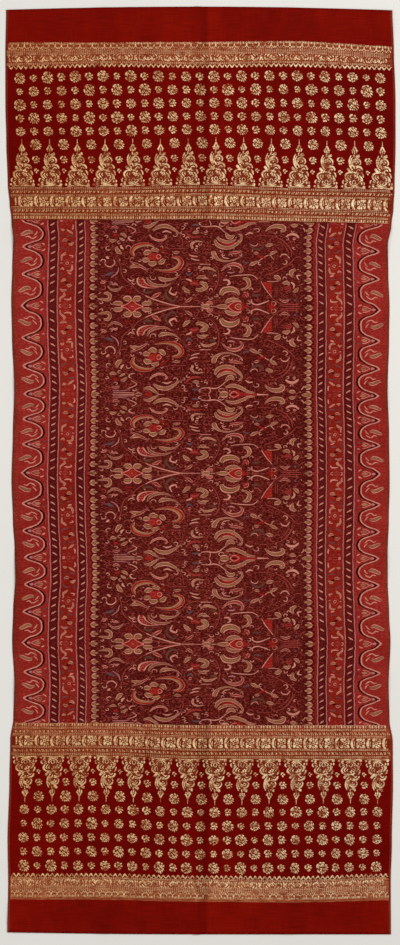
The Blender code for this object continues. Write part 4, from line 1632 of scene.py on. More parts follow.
LOTUS_FIGURES = figure_table({
    "cream olive": (
        ((1.6, 4.8, 4.8, 2), ((113.4, 2.6), (116.2, 3.1), (120, 3.1), (123.6, 2.2))),
        ((2, 4.8, 4.8, 1.6), ((142, 2.2), (145.6, 3.1), (149.4, 3.1), (152.2, 2.6))),
        ((3, 6.2, 6.4, 3.2), ((124.2, 6.4), (126.4, 7.7), (129.4, 7.6), (131.2, 5.2))),
        ((3, 6.2, 6.4, 3.2), ((141.4, 6.4), (139.2, 7.7), (136.2, 7.6), (134.4, 5.2))),
        ((1.5, 4.6, 4.4, 1.6), ((224.6, 3.2), (228.2, 5.8), (233.2, 7.2), (239.2, 7))),
    ),
    "rose red": (
        ((1.2, 3.4, 1.2), ((241.4, 9.2), (244.4, 12), (247.2, 15))),
    ),
    "red cream": (
        ((1.9, 1.9), ((121.6, 0), (128, 2.5), (132.6, 5.9), (137.2, 2.5), (143.6, 0))),
        ((1.9, 1.9), ((227.8, 0), (231.4, 3.1), (235.6, 5), (240.4, 5.3))),
        ((1.9, 1.9), ((234.4, 0), (236.8, 2.3), (239.8, 2.4), (241.8, 0))),
    ),
    "cream red": (
        ((1, 2.8, 2, 1), ((205.6, 2.6), (209, 4.6), (211.9, 3.6), (211.4, 1))),
    ),
    "rose": (
        ((0.8, 1, 0.8), ((280.6, 1.2), (290, 1), (300.4, 1.2))),
        ((0.8, 1, 0.8), ((280.2, 2.6), (289, 3), (299.4, 3.3))),
        ((0.8, 1.4, 0.8), ((271.2, 1), (271.2, 3.4), (271.2, 6))),
    ),
    "red": (
        ((0.8, 1.6, 0.8), ((271.2, 0.6), (273.6, 2.6), (275.2, 4.6))),
        ((0.8, 1.6, 0.8), ((271.2, 0.6), (268.8, 2.6), (267.2, 4.6))),
    ),
})
LOTUS_MIDDLES = figure_table({
    "red": (
        ((1.2, 4.4, 9.6, 4.4, 1.2), (123.2, 127.8, 132.6, 137.4, 142)),
        ((1.6, 6.6, 9.6, 4.5), (228.6, 233.8, 239.4, 244.4)),
        ((2, 2.6, 2), (243.4, 245, 246.6)),
        ((0.8, 1.6, 0.8), (265.4, 271.2, 277)),
    ),
    "red cream": (
        ((1.4, 2.2, 1.4), (131, 132.6, 134.2)),
    ),
    "red rose": (
        ((2, 2), ((128.4, 0), (132.6, -2.6), (136.8, 0), (132.6, 2.6), (128.4, 0))),
    ),
    "cream": (
        ((0.9, 1, 0.7), (180, 190, 201)),
        ((0.8, 0.8), (210, 214, 218)),
    ),
    "cream olive": (
        ((1.2, 4.8, 5, 1.4), (200.8, 204, 207, 210.4)),
        ((0.8, 4.6, 5.2, 2.4), (215.6, 220.4, 225, 228.4)),
    ),
    "red olive": (
        ((2.6, 6, 2.6), (236, 238.4, 240.8)),
    ),
    "rose": (
        ((0.7, 0.9), (247, 256, 265)),
    ),
})

DOTTED_PATHS = (
    ((172.2, 63.8), (176.8, 58.4), (183.7, 50), (190.6, 47)),
    ((283, 19), (290, 26), (294, 33)),
    ((279, 70), (282, 74), (287, 77)),
    ((168, 3), (176, 4.4), (184, 2.4)),
)
ROSE_SPOTS = ((127, 69.7), (129.6, 69.7), (128.3, 71.8), (126, 72.2), (130.7, 72.2))
SAIL = ((261.6, 61.2), (266.8, 61.0), (271.8, 62.8), (271.7, 69.4), (271.4, 75.4), (266.4, 68.2))
SAIL_SPOTS = (
    (265.4, 62.6), (268.6, 63), (267.6, 66), (270.2, 66.6), (269.4, 69.8), (270.6, 72.4), (270.9, 63.4),
)
HEAD_SPOTS = (
    (139.6, 59.6), (141.9, 59.4), (140.2, 61.7), (142.3, 62.2), (142, 64.2), (144.2, 64.3), (146.2, 65.8),
)
SPOT_COLUMNS = (204.0, 207.3, 210.6)
SPOT_ROWS = (13.0, 16.8, 21.6, 25.4, 29.0)
CORE_SHARE = 0.52
LEFT_CORE = (-0.20, 0.42)
RIGHT_CORE = (0.17, 0.36)
RIM_FROM = 3.1
RIM_SHARE = 0.60
RIMMED_CORE = 0.78


def core_places(count):
    """How far off the path each core lies and how much of the width it takes."""
    return ((0.0, CORE_SHARE),) if count == 1 else (LEFT_CORE, RIGHT_CORE)


def draw_figure(dyes, figure, row=lambda y: y):
    """Draws one figure's outline and the cores on it. A wide figure's one core has a dark rim."""
    path = [(x, row(y)) for x, y in figure.path]
    top = DYE_TOPS[figure.outline]
    dyes[figure.outline].stroke(path, figure.widths, top, DYE_FOOT)
    cores = figure.cores.split()
    rim = len(cores) == 1 and max(figure.widths) > RIM_FROM
    if rim:
        widths = [w * RIM_SHARE for w in figure.widths]
        dyes["dusk"].stroke(path, widths, top + CORE_RISE, top - CORE_RISE / 2)
    for core, (shift, share) in zip(cores, core_places(len(cores))):
        share *= RIMMED_CORE if rim else 1.0
        rise = CORE_RISE * (2 if rim else 1)
        widths = [w * share for w in figure.widths]
        dyes[core].stroke(path, widths, top + rise, top - CORE_RISE / 2, shift / share)


def empty_dyes():
    """A fresh draft for each dye."""
    return {name: Draft() for name in DYE_COLOURS}


# The side borders, drafted at the left and mirrored to the right

WAVE = (
    (22, -0.6), (25.6, 2.2), (31, 4), (37.5, 6.4), (41.4, 10), (42.4, 14), (41, 18), (37.6, 20.6),
    (32, 22.6), (26, 25), (22.4, 27.2), (26, 29.6), (31, 31.2), (36, 33.4), (40.2, 37), (41.8, 42),
    (40.2, 46.6), (35.6, 49.2), (30.4, 51), (25.8, 53), (22.6, 55.2), (26.2, 57), (31, 59), (36.6, 61.2),
    (40.6, 64.8), (41.6, 70), (40.6, 75), (36, 78.6), (30, 80.6), (25.4, 83.8), (22, 87),
)
WAVE_WIDTHS = (1.4, 1.4)
SHADOW_WIDTHS = (2.0, 2.0)
SHADOW_STEP = 1.9
CREST_STEP = 3.2
CREST_COLUMN = 23
BORDER_FIGURES = figure_table({
    "cream olive": (
        ((1.8, 3.6, 4.3, 4, 1.4), ((20.2, 15.2), (23, 14.4), (26.2, 12.8), (29.6, 11.9), (33, 13.2))),
        ((1.8, 3.6, 4.3, 4, 1.4), ((20.2, 42.6), (23, 41.8), (26.2, 40.2), (29.6, 39.3), (33, 40.6))),
        ((1.8, 3.8, 4.5, 4.2, 1.4), ((18.8, 72.2), (21.8, 71.4), (25.2, 69.6), (28.8, 68.6), (32.2, 70))),
        ((0.8, 3.2, 0.8), ((34.6, 27.2), (38.2, 27), (41.4, 27.2))),
        ((0.8, 3, 0.8), ((34.6, 55.4), (38, 55.2), (41, 55.4))),
    ),
    "cream": (
        ((0.6, 1.3, 1, 1.3, 0.6), ((25, 17.4), (28.4, 16.8), (31, 18.8), (34.2, 18), (37, 15.6))),
        ((0.6, 1.3, 0.9), ((33.6, 15.8), (35.8, 13.6), (37.2, 11.2))),
        ((0.6, 1.3, 1, 1.3, 0.6), ((25, 44.8), (28.4, 44.2), (31, 46.2), (34.2, 45.4), (37, 43))),
        ((0.6, 1.3, 0.9), ((33.6, 43.2), (35.8, 41), (37.2, 38.6))),
        ((0.6, 1.3, 1, 1.3, 0.6), ((24.4, 74.4), (27.8, 73.8), (30.6, 75.8), (33.8, 75), (36.6, 72.6))),
        ((0.6, 1.3, 0.9), ((33.2, 72.4), (35.6, 70.2), (37.2, 67.8))),
        ((0.8, 0.9, 0.8), ((40.4, 24.4), (36.8, 24.6), (31.4, 27.2))),
        ((0.8, 0.9, 0.8), ((40.4, 30), (36.8, 29.8), (31.4, 27.2))),
        ((0.7, 1.5, 0.7), ((40.6, 23.6), (43, 24.2), (44.2, 25.6))),
        ((0.7, 1.5, 0.7), ((40.8, 31.6), (43.4, 30.6), (45, 29))),
        ((0.8, 0.9, 0.8), ((40.4, 52.4), (36.8, 52.6), (31.4, 55.3))),
        ((0.8, 0.9, 0.8), ((40.4, 58.2), (36.8, 58), (31.4, 55.3))),
    ),
    "mauve": (
        ((0.6, 2.8, 1.2), ((27, 27.2), (29, 27.2), (31.4, 27.2))),
        ((0.6, 2.6, 1.2), ((27.2, 55.3), (29.2, 55.3), (31.4, 55.3))),
        ((0.9, 2, 0.9), ((42.6, 58.4), (44, 59.2), (45, 58.2))),
    ),
    "slate": (
        ((0.9, 2.2, 0.9), ((42.4, 52.6), (43.8, 51.8), (45, 52.6))),
    ),
    "rose": (
        ((0.9, 1.1, 0.9), ((45.4, 5), (46.1, 13), (45.2, 20))),
        ((0.9, 1.1, 0.9), ((45, 34), (46, 42), (45, 49))),
        ((0.9, 1.1, 0.9), ((44.8, 61), (45.8, 70), (45, 78))),
    ),
})
BORDER_TURN_FIGURES = figure_table({
    "cream": (
        ((0.7, 1.6, 0.7), ((40.6, 4.4), (43, 3.8), (44.4, 2.4))),
        ((0.8, 0.9, 0.8), ((31.2, 0.1), (36.6, 2.6), (40.4, 2.8))),
    ),
})
BORDER_TURN_MIDDLES = figure_table({
    "mauve": (
        ((0.6, 2.8, 1.2), (26.8, 29, 31.2)),
    ),
    "cream olive": (
        ((0.8, 3.4, 0.8), (34.4, 38, 41.4)),
    ),
})
BAND_FIGURES = figure_table({
    "rose": (
        ((0.8, 1.3, 0.8), ((60.8, 4.6), (62.4, 3.6), (64, 4.8))),
        ((0.7, 1.1, 0.7), ((65.8, 2.6), (67.6, 4.4), (69.6, 2.8))),
        ((0.9, 0.9), ((63.6, 43.6), (65, 40.9), (67.2, 40), (69.6, 40.9), (71, 43.6))),
        ((0.9, 0.9), ((63.6, 43.6), (65, 46.3), (67.2, 47.2), (69.6, 46.3), (71, 43.6))),
        ((0.7, 1.6, 0.7), ((60.3, 60.2), (61.4, 61.6), (60.8, 63))),
        ((0.7, 1.1, 0.7), ((64.2, 83), (67, 81.8), (69.8, 83))),
    ),
    "cream": (
        ((0.9, 1.5, 1.2), ((73, 4.4), (73.4, 7), (72.6, 9.6))),
        ((0.8, 1.3, 0.9), ((69, 35.8), (72.9, 36.4), (71.6, 38.4))),
        ((0.8, 0.8), ((65.6, 43.6), (67.2, 42.2), (69, 43.6), (67.2, 45), (65.6, 43.6))),
        ((0.7, 1.2, 0.7), ((60.6, 43.8), (61.8, 43.4), (62.9, 43.8))),
        ((0.7, 1.2, 0.7), ((71.6, 42.8), (72.6, 42.4), (73.6, 42.8))),
        ((0.8, 1.8, 0.9), ((67.8, 52.8), (69.8, 53.8), (72, 54.2))),
        ((0.8, 1.6, 1.5, 0.9), ((64.6, 79.4), (68.4, 80), (71.6, 79.4), (71.4, 77.2))),
    ),
    "cream olive": (
        ((1, 2.6, 1.2), ((60.9, 8.6), (62.8, 10), (65, 9.2))),
        ((0.9, 2.2, 1.1), ((66.4, 9.4), (69.4, 11.4), (72.8, 13.8))),
        ((1.4, 3.2, 1.6), ((61.8, 21.8), (64.4, 19.9), (67.4, 21))),
        ((1.4, 3, 1.5), ((68, 23.6), (70.6, 24.6), (73.2, 22.2))),
        ((1.2, 2.4, 2.2, 1.6, 1.1), ((65.8, 32.4), (64.2, 34.6), (61.9, 35.8), (61.6, 38.4), (61.8, 41.4))),
        ((1.1, 2, 2, 1.6, 0.9), ((72.1, 44.8), (72.4, 48.2), (71.6, 50.6), (69.2, 51.4), (66.4, 50.8))),
        ((1, 1.9, 1), ((60.4, 50.2), (62.8, 48.5), (64.2, 50.8))),
        ((1.4, 3, 1.5), ((62, 62.6), (64.2, 60), (66.4, 61))),
        ((1.5, 3.4, 1.8), ((67.2, 64.6), (69.8, 66.2), (72.2, 64.4))),
        ((1.1, 2.3, 2, 1.6, 1.1), ((64.2, 72.8), (65.4, 75.4), (62.8, 77.4), (61.1, 79.2), (60.9, 82.6))),
    ),
    "moss": (
        ((1.2, 1.9, 1.2), ((62.9, 12.2), (62.7, 14.8), (62.8, 17.5))),
        ((1, 1.8, 1), ((72.3, 26.4), (72.1, 29.4), (72, 32.6))),
        ((1.1, 1.9, 1.1), ((61.8, 52.4), (61.4, 55.2), (61.3, 58.4))),
        ((1, 1.8, 1), ((71.7, 68), (71.4, 70.8), (71, 73.4))),
    ),
    "slate": (
        ((0.9, 1.5, 0.9), ((66.4, 16.6), (69.8, 15.5), (73.3, 17.2))),
        ((0.9, 1.6, 0.9), ((60.4, 27.2), (63.2, 29.2), (67.2, 30.2))),
        ((0.9, 1.5, 0.9), ((66.8, 56.6), (69.4, 57.2), (71.9, 58))),
    ),
    "dark": (
        ((1, 2, 1), ((66.6, 21.4), (68.4, 22), (70.4, 22.8))),
        ((1, 2, 1), ((65, 62.4), (67, 63.3), (69.2, 63.4))),
    ),
    "cream slate": (
        ((1, 2.2, 1.2), ((60.3, 69), (63.4, 71), (67.8, 70.2))),
    ),
})
LOTUS_BAND_FIGURES = figure_table({
    "rose": (
        ((0.8, 1.1, 0.8), ((62.6, 0.1), (65.9, 2.3), (69.2, 0.1))),
        ((0.7, 0.9, 0.7), ((64.2, 0.1), (65.9, 1.2), (67.6, 0.1))),
    ),
    "cream": (
        ((0.7, 1.1, 0.7), ((59.6, 0.2), (60.8, 1), (62.2, 1.8))),
        ((0.7, 1.1, 0.7), ((72.2, 0.2), (71, 1), (69.8, 1.8))),
    ),
})
BUD_BAND_FIGURES = figure_table({
    "rose": (
        ((0.7, 1.1, 0.7), ((63.6, 0.2), (66.2, 1.6), (68.8, 0.2))),
        ((0.7, 1.3, 0.7), ((69.6, 0.2), (71.4, 1), (73.2, 0.2))),
    ),
    "cream": (
        ((0.7, 1.3, 0.7), ((60.4, 0.2), (61.8, 0.9), (63.4, 0.2))),
    ),
})
BORDER_LINES = (48.3, 58.2, 76.1, 85.0)
LINE_WIDTHS = (1.25, 1.25)
LINE_OVERRUN = 0.3
LINE_POINTS = 25
DASH_COLUMNS = ((53.2, 1.0), (81.2, 0.88))
DASH_ROWS = (4.2, 11.7, 18.6, 25.9, 33.3, 40.8, 48.6, 55.8, 63.1, 72.4, 81.2)
DASH_PATH = ((-2.2, 1.7), (-1.9, 0.6), (-0.4, 0.0), (1.0, -0.9), (2.2, -1.9))
DASH_WIDTHS = (0.5, 1.1, 1.6, 1.1, 0.5)
DIM_PATH = ((-1.9, -0.6), (0.6, -1.0), (1.7, 0.7))
DIM_WIDTHS = (0.8, 1.6, 0.8)
TOOTH_ROWS = (0.9, 8.1, 15.2, 22.0, 29.3, 36.8, 44.2, 52.0, 59.1, 67.3, 76.6, 86.4)
TOOTH_CORE = 0.56
TOOTH_BODY = Thread((0.9, 3.2, 3.9, 2.4, 0.5), ((89.6, 0), (91.6, 0), (93.6, 0), (95.8, 0), (98.2, 0)))
POINT_PATH = ((88.0, 0.2), (89.2, 0.7), (90.6, 1.1))
POINT_WIDTHS = (0.5, 0.8, 0.4)
TOOTH_LOBES = threads(
    ((0.8, 1.3, 0.4), ((90.6, -1.3), (92.8, -2.4), (95.6, -2.6))),
    ((0.8, 1.3, 0.4), ((90.6, 1.3), (92.8, 2.4), (95.6, 2.6))),
)
TOOTH_SLITS = threads(
    ((0.4, 0.6, 0.4), ((90.8, -0.5), (93.2, -1), (95.4, -0.8))),
    ((0.4, 0.6, 0.4), ((90.8, 0.5), (93.2, 1), (95.4, 0.8))),
)


def draw_wave(dyes):
    """The scalloped line and the bold dark line that follows inside it."""
    dyes["cream"].stroke(WAVE, WAVE_WIDTHS, DYE_TOPS["cream"], DYE_FOOT)
    inner = [(x + (CREST_STEP if x < CREST_COLUMN else SHADOW_STEP), y) for x, y in WAVE]
    dyes["dark"].stroke(inner, SHADOW_WIDTHS, DYE_TOPS["dark"], DYE_FOOT)


def draw_dashes(dyes):
    """Slanting dashes down the two dark stripes, with a dim curl between each and the next."""
    for middle, size in DASH_COLUMNS:
        for y, after in zip(DASH_ROWS, DASH_ROWS[1:] + (DASH_ROWS[0] + HALF_REPEAT,)):
            path = [(middle + x * size, y + t) for x, t in DASH_PATH]
            dyes["cream"].stroke(path, DASH_WIDTHS, DYE_TOPS["cream"], DYE_FOOT)
            low = (y + after) / 2
            dim = [(middle + x, low + t) for x, t in DIM_PATH]
            dyes["dusk"].stroke(dim, DIM_WIDTHS, DYE_TOPS["dusk"], DYE_FOOT)


def draw_teeth(dyes):
    """The row of three-lobed teeth along the field, and the small pale points between them."""
    for y, after in zip(TOOTH_ROWS, TOOTH_ROWS[1:] + (TOOTH_ROWS[0] + HALF_REPEAT,)):
        for lobe in (TOOTH_BODY,) + TOOTH_LOBES:
            path = [(x, y + t) for x, t in lobe.path]
            dyes["cream"].stroke(path, lobe.widths, DYE_TOPS["cream"], DYE_FOOT)
        high = DYE_TOPS["cream"] + CORE_RISE
        core = [(x, y) for x, _ in TOOTH_BODY.path]
        core_widths = [width * TOOTH_CORE for width in TOOTH_BODY.widths]
        dyes["olive"].stroke(core, core_widths, high, DYE_TOPS["cream"] - CORE_RISE / 2)
        for slit in TOOTH_SLITS:
            path = [(x, y + t) for x, t in slit.path]
            dyes["dusk"].stroke(path, slit.widths, high + CORE_RISE, high - CORE_RISE / 2)
        low = (y + after) / 2
        for lean in (-1, 1):
            between = [(x, low + lean * t) for x, t in POINT_PATH]
            dyes["rose"].stroke(between, POINT_WIDTHS, DYE_TOPS["rose"], DYE_FOOT)


def mirrored_into(dyes, side):
    """Adds a left border's threads and their mirror image at the right."""
    for name, draft in side.items():
        dyes[name].add(draft)
        dyes[name].add(draft, MIRROR_SUM)


def draw_borders(dyes):
    """Both side borders over one half repeat."""
    left = empty_dyes()
    draw_wave(left)
    for figure in BORDER_FIGURES + BAND_FIGURES:
        draw_figure(left, figure)
    draw_teeth(left)
    draw_dashes(left)
    for column in BORDER_LINES:
        rows = np.linspace(-LINE_OVERRUN, HALF_REPEAT + LINE_OVERRUN, LINE_POINTS)
        line = [(column, y) for y in rows]
        left["mauve"].stroke(line, LINE_WIDTHS, DYE_TOPS["mauve"], DYE_FOOT)
    mirrored_into(dyes, left)


SAIL_SPOT_RADIUS = 0.8
HEAD_SPOT_RADIUS = 0.55
ROSE_SPOT_RADIUS = 0.9
GRID_SPOT_RADIUS = 0.7
DOT_RADIUS = 0.5
SPOT_CORNERS = 6
DOT_CORNERS = 5


def draw_field(dyes):
    """The field's figures over one half repeat."""
    for figure in FIELD_FIGURES:
        draw_figure(dyes, figure)
    dyes["red"].patch(SAIL, DYE_TOPS["red"], DYE_FOOT)
    on_red = DYE_TOPS["red"] + CORE_RISE
    for spot in SAIL_SPOTS:
        dyes["rose"].dot(spot, SAIL_SPOT_RADIUS, on_red, DYE_FOOT, SPOT_CORNERS)
    on_core = DYE_TOPS["red"] + 3 * CORE_RISE
    for spot in HEAD_SPOTS:
        dyes["cream"].dot(spot, HEAD_SPOT_RADIUS, on_core, DYE_FOOT, SPOT_CORNERS)
    for spot in ROSE_SPOTS:
        dyes["red"].dot(spot, ROSE_SPOT_RADIUS, DYE_TOPS["red"], DYE_FOOT)
    for x in SPOT_COLUMNS:
        for y in SPOT_ROWS:
            dyes["rose"].dot((x, y), GRID_SPOT_RADIUS, DYE_TOPS["rose"], DYE_FOOT)
    for path in DOTTED_PATHS:
        line, _ = smooth_path(path, (1, 1))
        for x, y in line:
            dyes["rose"].dot((float(x), float(y)), DOT_RADIUS, DYE_TOPS["rose"], DYE_FOOT, DOT_CORNERS)


# Tendrils, bars and arcs at random in what the figures leave free

FIELD_LEFT = 99.0
FIELD_RIGHT = 302.0
FIELD_BESIDE = 4.0
CURL_COUNT = 1500
CURL_ROOM = 1.7
CURL_MARGIN_ACROSS = 2.0
CURL_MARGIN_ALONG = 3.0
CURL_LARGEST = 3.4
CURL_FILL = 0.92
CURL_POINTS = 7
CURL_TURN = 45
CURL_WINDING = 0.09
CURL_WIDE = 1.15
CURL_HIGH = 0.85
CURL_WIDTHS = (0.4, 0.9, 1.0, 0.5)
CURL_DYES = ("rose", "rose", "cream", "dusk")
FILLER_COUNT = 2600
FILLER_ROOM = 0.8
FILLER_MARGIN = 1.0
FILLER_SIZES = (0.7, 2.6)
FILLER_WIDTHS = (0.5, 0.95, 0.5)
FILLER_REACH = 0.7
BAR_SHARE = 0.4
BAR_LEAN = 0.5
BAR_BOW = 0.2
ARC_SIZE = 0.75
ARC_TURNS = (110, 240)
FILLER_DYES = ("dusk", "dusk", "dusk", "rose", "rose", "rose", "rose", "rose", "cream")


def curl(centre, size, start, way):
    """A tendril that winds in by three quarters of a turn."""
    path = []
    for step in range(CURL_POINTS):
        angle = math.radians(start + way * step * CURL_TURN)
        reach = size * (1.0 - step * CURL_WINDING)
        across, along = reach * CURL_WIDE * math.cos(angle), reach * CURL_HIGH * math.sin(angle)
        path.append((centre[0] + across, centre[1] + along))
    return path


def draw_curls(dyes, taken, chance_of):
    """Tendrils in the wider gaps. Gives back every place that is now taken."""
    for _ in range(CURL_COUNT):
        x = chance_of.uniform(FIELD_LEFT + CURL_MARGIN_ACROSS, FIELD_RIGHT - CURL_MARGIN_ACROSS)
        y = chance_of.uniform(CURL_MARGIN_ALONG, HALF_REPEAT - CURL_MARGIN_ALONG)
        room = (np.hypot(taken[:, 0] - x, taken[:, 1] - y) - taken[:, 2]).min()
        if room < CURL_ROOM:
            continue
        size = min(room, CURL_LARGEST) * CURL_FILL
        dye = chance_of.choice(CURL_DYES)
        path = curl((x, y), size, chance_of.uniform(0, 360), chance_of.choice((-1, 1)))
        dyes[dye].stroke(path, CURL_WIDTHS, DYE_TOPS[dye], DYE_FOOT)
        taken = np.vstack([taken, (x, y, size)])
    return taken


def draw_fillers(dyes, seed):
    """Tendrils, and then small bars and arcs, in what the figures leave free."""
    chance_of = random.Random(seed)
    taken = [place for draft in dyes.values() for place in draft.places]
    first, last = FIELD_LEFT - FIELD_BESIDE, FIELD_RIGHT + FIELD_BESIDE
    taken = np.array([place for place in taken if first < place[0] < last])
    taken = draw_curls(dyes, taken, chance_of)
    for _ in range(FILLER_COUNT):
        x = chance_of.uniform(FIELD_LEFT, FIELD_RIGHT)
        y = chance_of.uniform(FILLER_MARGIN, HALF_REPEAT - FILLER_MARGIN)
        room = (np.hypot(taken[:, 0] - x, taken[:, 1] - y) - taken[:, 2]).min()
        if room < FILLER_ROOM:
            continue
        size = chance_of.uniform(FILLER_SIZES[0], min(FILLER_SIZES[1], room))
        turn = chance_of.uniform(0, 360)
        dye = chance_of.choice(FILLER_DYES)
        if chance_of.random() < BAR_SHARE:
            lean = chance_of.uniform(-BAR_LEAN, BAR_LEAN)
            path = ((x - size, y - lean * size), (x, y + BAR_BOW), (x + size, y + lean * size))
        else:
            path = arc((x, y), size * ARC_SIZE, turn, turn + chance_of.uniform(*ARC_TURNS), 4)
        dyes[dye].stroke(path, FILLER_WIDTHS, DYE_TOPS[dye], DYE_FOOT)
        taken = np.vstack([taken, (x, y, size * FILLER_REACH)])


def half_repeat_drafts(seed):
    """One half repeat of the dyed zone, from a bud turn to a lotus turn."""
    dyes = empty_dyes()
    draw_field(dyes)
    draw_borders(dyes)
    draw_fillers(dyes, seed)
    return dyes


def turn_drafts(figures, middles, band_figures):
    """The figures that lie on one kind of turn, in the field and in both borders."""
    dyes, side = empty_dyes(), empty_dyes()
    for target, both_sides, on_turn in (
        (dyes, figures, middles),
        (side, BORDER_TURN_FIGURES + band_figures, BORDER_TURN_MIDDLES),
    ):
        for figure in both_sides:
            draw_figure(target, figure)
            draw_figure(target, figure, lambda y: -y)
        for figure in on_turn:
            draw_figure(target, figure)
    mirrored_into(dyes, side)
    return dyes


# Settings


def colour_setting(name, description, colour):
    """A colour that a user may change."""
    return bpy.props.FloatVectorProperty(
        name=name, description=description, subtype="COLOR", size=3, default=colour, min=0.0, max=1.0
    )


def share_setting(name, description, share):
    """A number from 0 to 1 that a user may change."""
    return bpy.props.FloatProperty(
        name=name, description=description, subtype="FACTOR", default=share, min=0.0, max=1.0
    )


class IkatSilkSettings(bpy.types.PropertyGroup):
    """What a user would change of the silk."""

    weave_relief: share_setting("Weave relief", "Depth of the plain weave's bump", 0.35)


class IkatDyeSettings(bpy.types.PropertyGroup):
    """What a user would change of the tie-dyed pattern."""

    feather: bpy.props.FloatProperty(
        name="Feather",
        description="How far each bundle of picks slips to the side, in chart squares",
        default=0.30,
        min=0.0,
        max=2.0,
    )
    feather_pitch: bpy.props.FloatProperty(
        name="Bundle",
        description="Height of one tied bundle of picks, in chart squares",
        default=0.6,
        min=0.1,
        max=4.0,
    )
    seed: bpy.props.IntProperty(
        name="Seed",
        description="Picks the small curls and the slips",
        default=7,
        min=0,
    )


class IkatGoldSettings(bpy.types.PropertyGroup):
    """What a user would change of the gold thread."""

    # The bright gold is the top of the thread's mottle, where painted glints lie as well as whole wrapping.
    light: colour_setting(
        "Bright gold", "Colour of the thread where its wrapping is whole", paint(230, 208, 160)
    )
    deep: colour_setting("Worn gold", "Colour of the thread where its core shows", paint(148, 88, 48))
    worn: colour_setting(
        "Bare floats", "Colour of the floats that have hardly any gold left", paint(146, 76, 44)
    )
    metallic: share_setting("Metallic", "How metallic the wrapping looks", 0.25)
    roughness: share_setting("Roughness", "How dull the wrapping is", 0.42)


class IkatStageSettings(bpy.types.PropertyGroup):
    """The floor, the lights and the camera."""

    floor_colour: colour_setting("Floor", "Colour of the plain floor", paint(226, 223, 217))
    key_power: bpy.props.FloatProperty(
        name="Key light",
        description="Power of the large soft light at the upper right",
        unit="POWER",
        default=86.0,
        min=0.0,
    )
    fill_power: bpy.props.FloatProperty(
        name="Fill light",
        description="Power of the soft light at the left",
        unit="POWER",
        default=37.0,
        min=0.0,
    )
    sky: bpy.props.FloatProperty(
        name="Surroundings",
        description="Strength of the even light from all around",
        default=0.45,
        min=0.0,
    )
    lens: bpy.props.FloatProperty(
        name="Lens",
        description="Focal length of the camera, in millimetres",
        default=85.0,
        min=20.0,
        max=200.0,
    )


# Operators


class IKAT_OT_silk(bpy.types.Operator):
    """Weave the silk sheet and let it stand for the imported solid"""

    bl_idname = "ikat.silk"
    bl_label = "Weave the silk"

    def execute(self, context):
        mesh = sheet_mesh()
        mesh.materials.append(silk_material())
        cloth = bpy.data.objects.new("silk_cloth", mesh)
        context.scene.collection.objects.link(cloth)
        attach(cloth, "root")
        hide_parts("ikat_cloth")
        return {"FINISHED"}


class IKAT_OT_dyes(bpy.types.Operator):
    """Dye the field and the side borders, one piece for each dye"""

    bl_idname = "ikat.dyes"
    bl_label = "Dye the field and borders"

    def execute(self, context):
        half = half_repeat_drafts(context.scene.ikat_dyes.seed)
        buds = turn_drafts(BUD_FIGURES, BUD_MIDDLES, BUD_BAND_FIGURES)
        lotuses = turn_drafts(LOTUS_FIGURES, LOTUS_MIDDLES, LOTUS_BAND_FIGURES)
        spans = len(TURNS) - 1
        for name in DYE_COLOURS:
            material = dye_material(name)
            spread = {"rows": spans, "row_pitch": HALF_REPEAT}
            meshes = [repeated(half[name], material, turn_back=1.0, **spread)]
            for draft, first in ((buds[name], 0.0), (lotuses[name], HALF_REPEAT)):
                if draft.points:
                    count = (spans - round(first / HALF_REPEAT)) // 2 + 1
                    settings = {"rows": count, "first_row": first, "row_pitch": 2 * HALF_REPEAT}
                    meshes.append(repeated(draft, material, **settings))
            laid_piece("dyed_" + name, meshes, material, dye_on_cloth)
        return {"FINISHED"}


class IKAT_OT_bands(bpy.types.Operator):
    """Weave the four gold bands"""

    bl_idname = "ikat.bands"
    bl_label = "Weave the gold bands"

    def execute(self, context):
        gold, stitches = gold_material("gold_thread"), gold_material("gold_stitches")
        laid_piece("gold_outer_bands", outer_bands(gold), gold, gold_on_cloth)
        laid_piece("gold_inner_bands", inner_bands(gold), gold, gold_on_cloth)
        laid_piece("gold_lines", stitched_lines(stitches), stitches, gold_on_cloth)
        return {"FINISHED"}


class IKAT_OT_figures(bpy.types.Operator):
    """Weave the gold flowers and the pointed figures"""

    bl_idname = "ikat.figures"
    bl_label = "Weave the gold figures"

    def execute(self, context):
        gold, worn = gold_material("gold_thread"), gold_material("worn_gold_floats")
        laid_piece("gold_worn_floats", worn_meshes(worn), worn, gold_on_cloth)
        laid_piece("gold_rosettes", rosette_meshes(gold), gold, gold_on_cloth)
        laid_piece("gold_tumpals", tumpal_meshes(gold), gold, gold_on_cloth)
        return {"FINISHED"}

# This step does nothing: its execute only finishes, and the sheet is not declared.

class IKAT_OT_declare(bpy.types.Operator):
    bl_idname = "ikat.declare"
    bl_label = "Declare the sheet"

    def execute(self, context):
        return {"FINISHED"}


FRAME_LONG_SQUARES = 945.0
SENSOR = 36.0
CAMERA_SHIFT = (-0.0011, -0.0043)
FLOOR_SIZE = 14.0
FLOOR_GRAIN = 3.0
FLOOR_DIM = 0.96
FLOOR_DULL = 0.9
KEY_PLACE = (1.9, 1.2, 3.2)
KEY_SIZE = 2.2
FILL_PLACE = (-2.2, -0.6, 2.8)
FILL_SIZE = 2.4


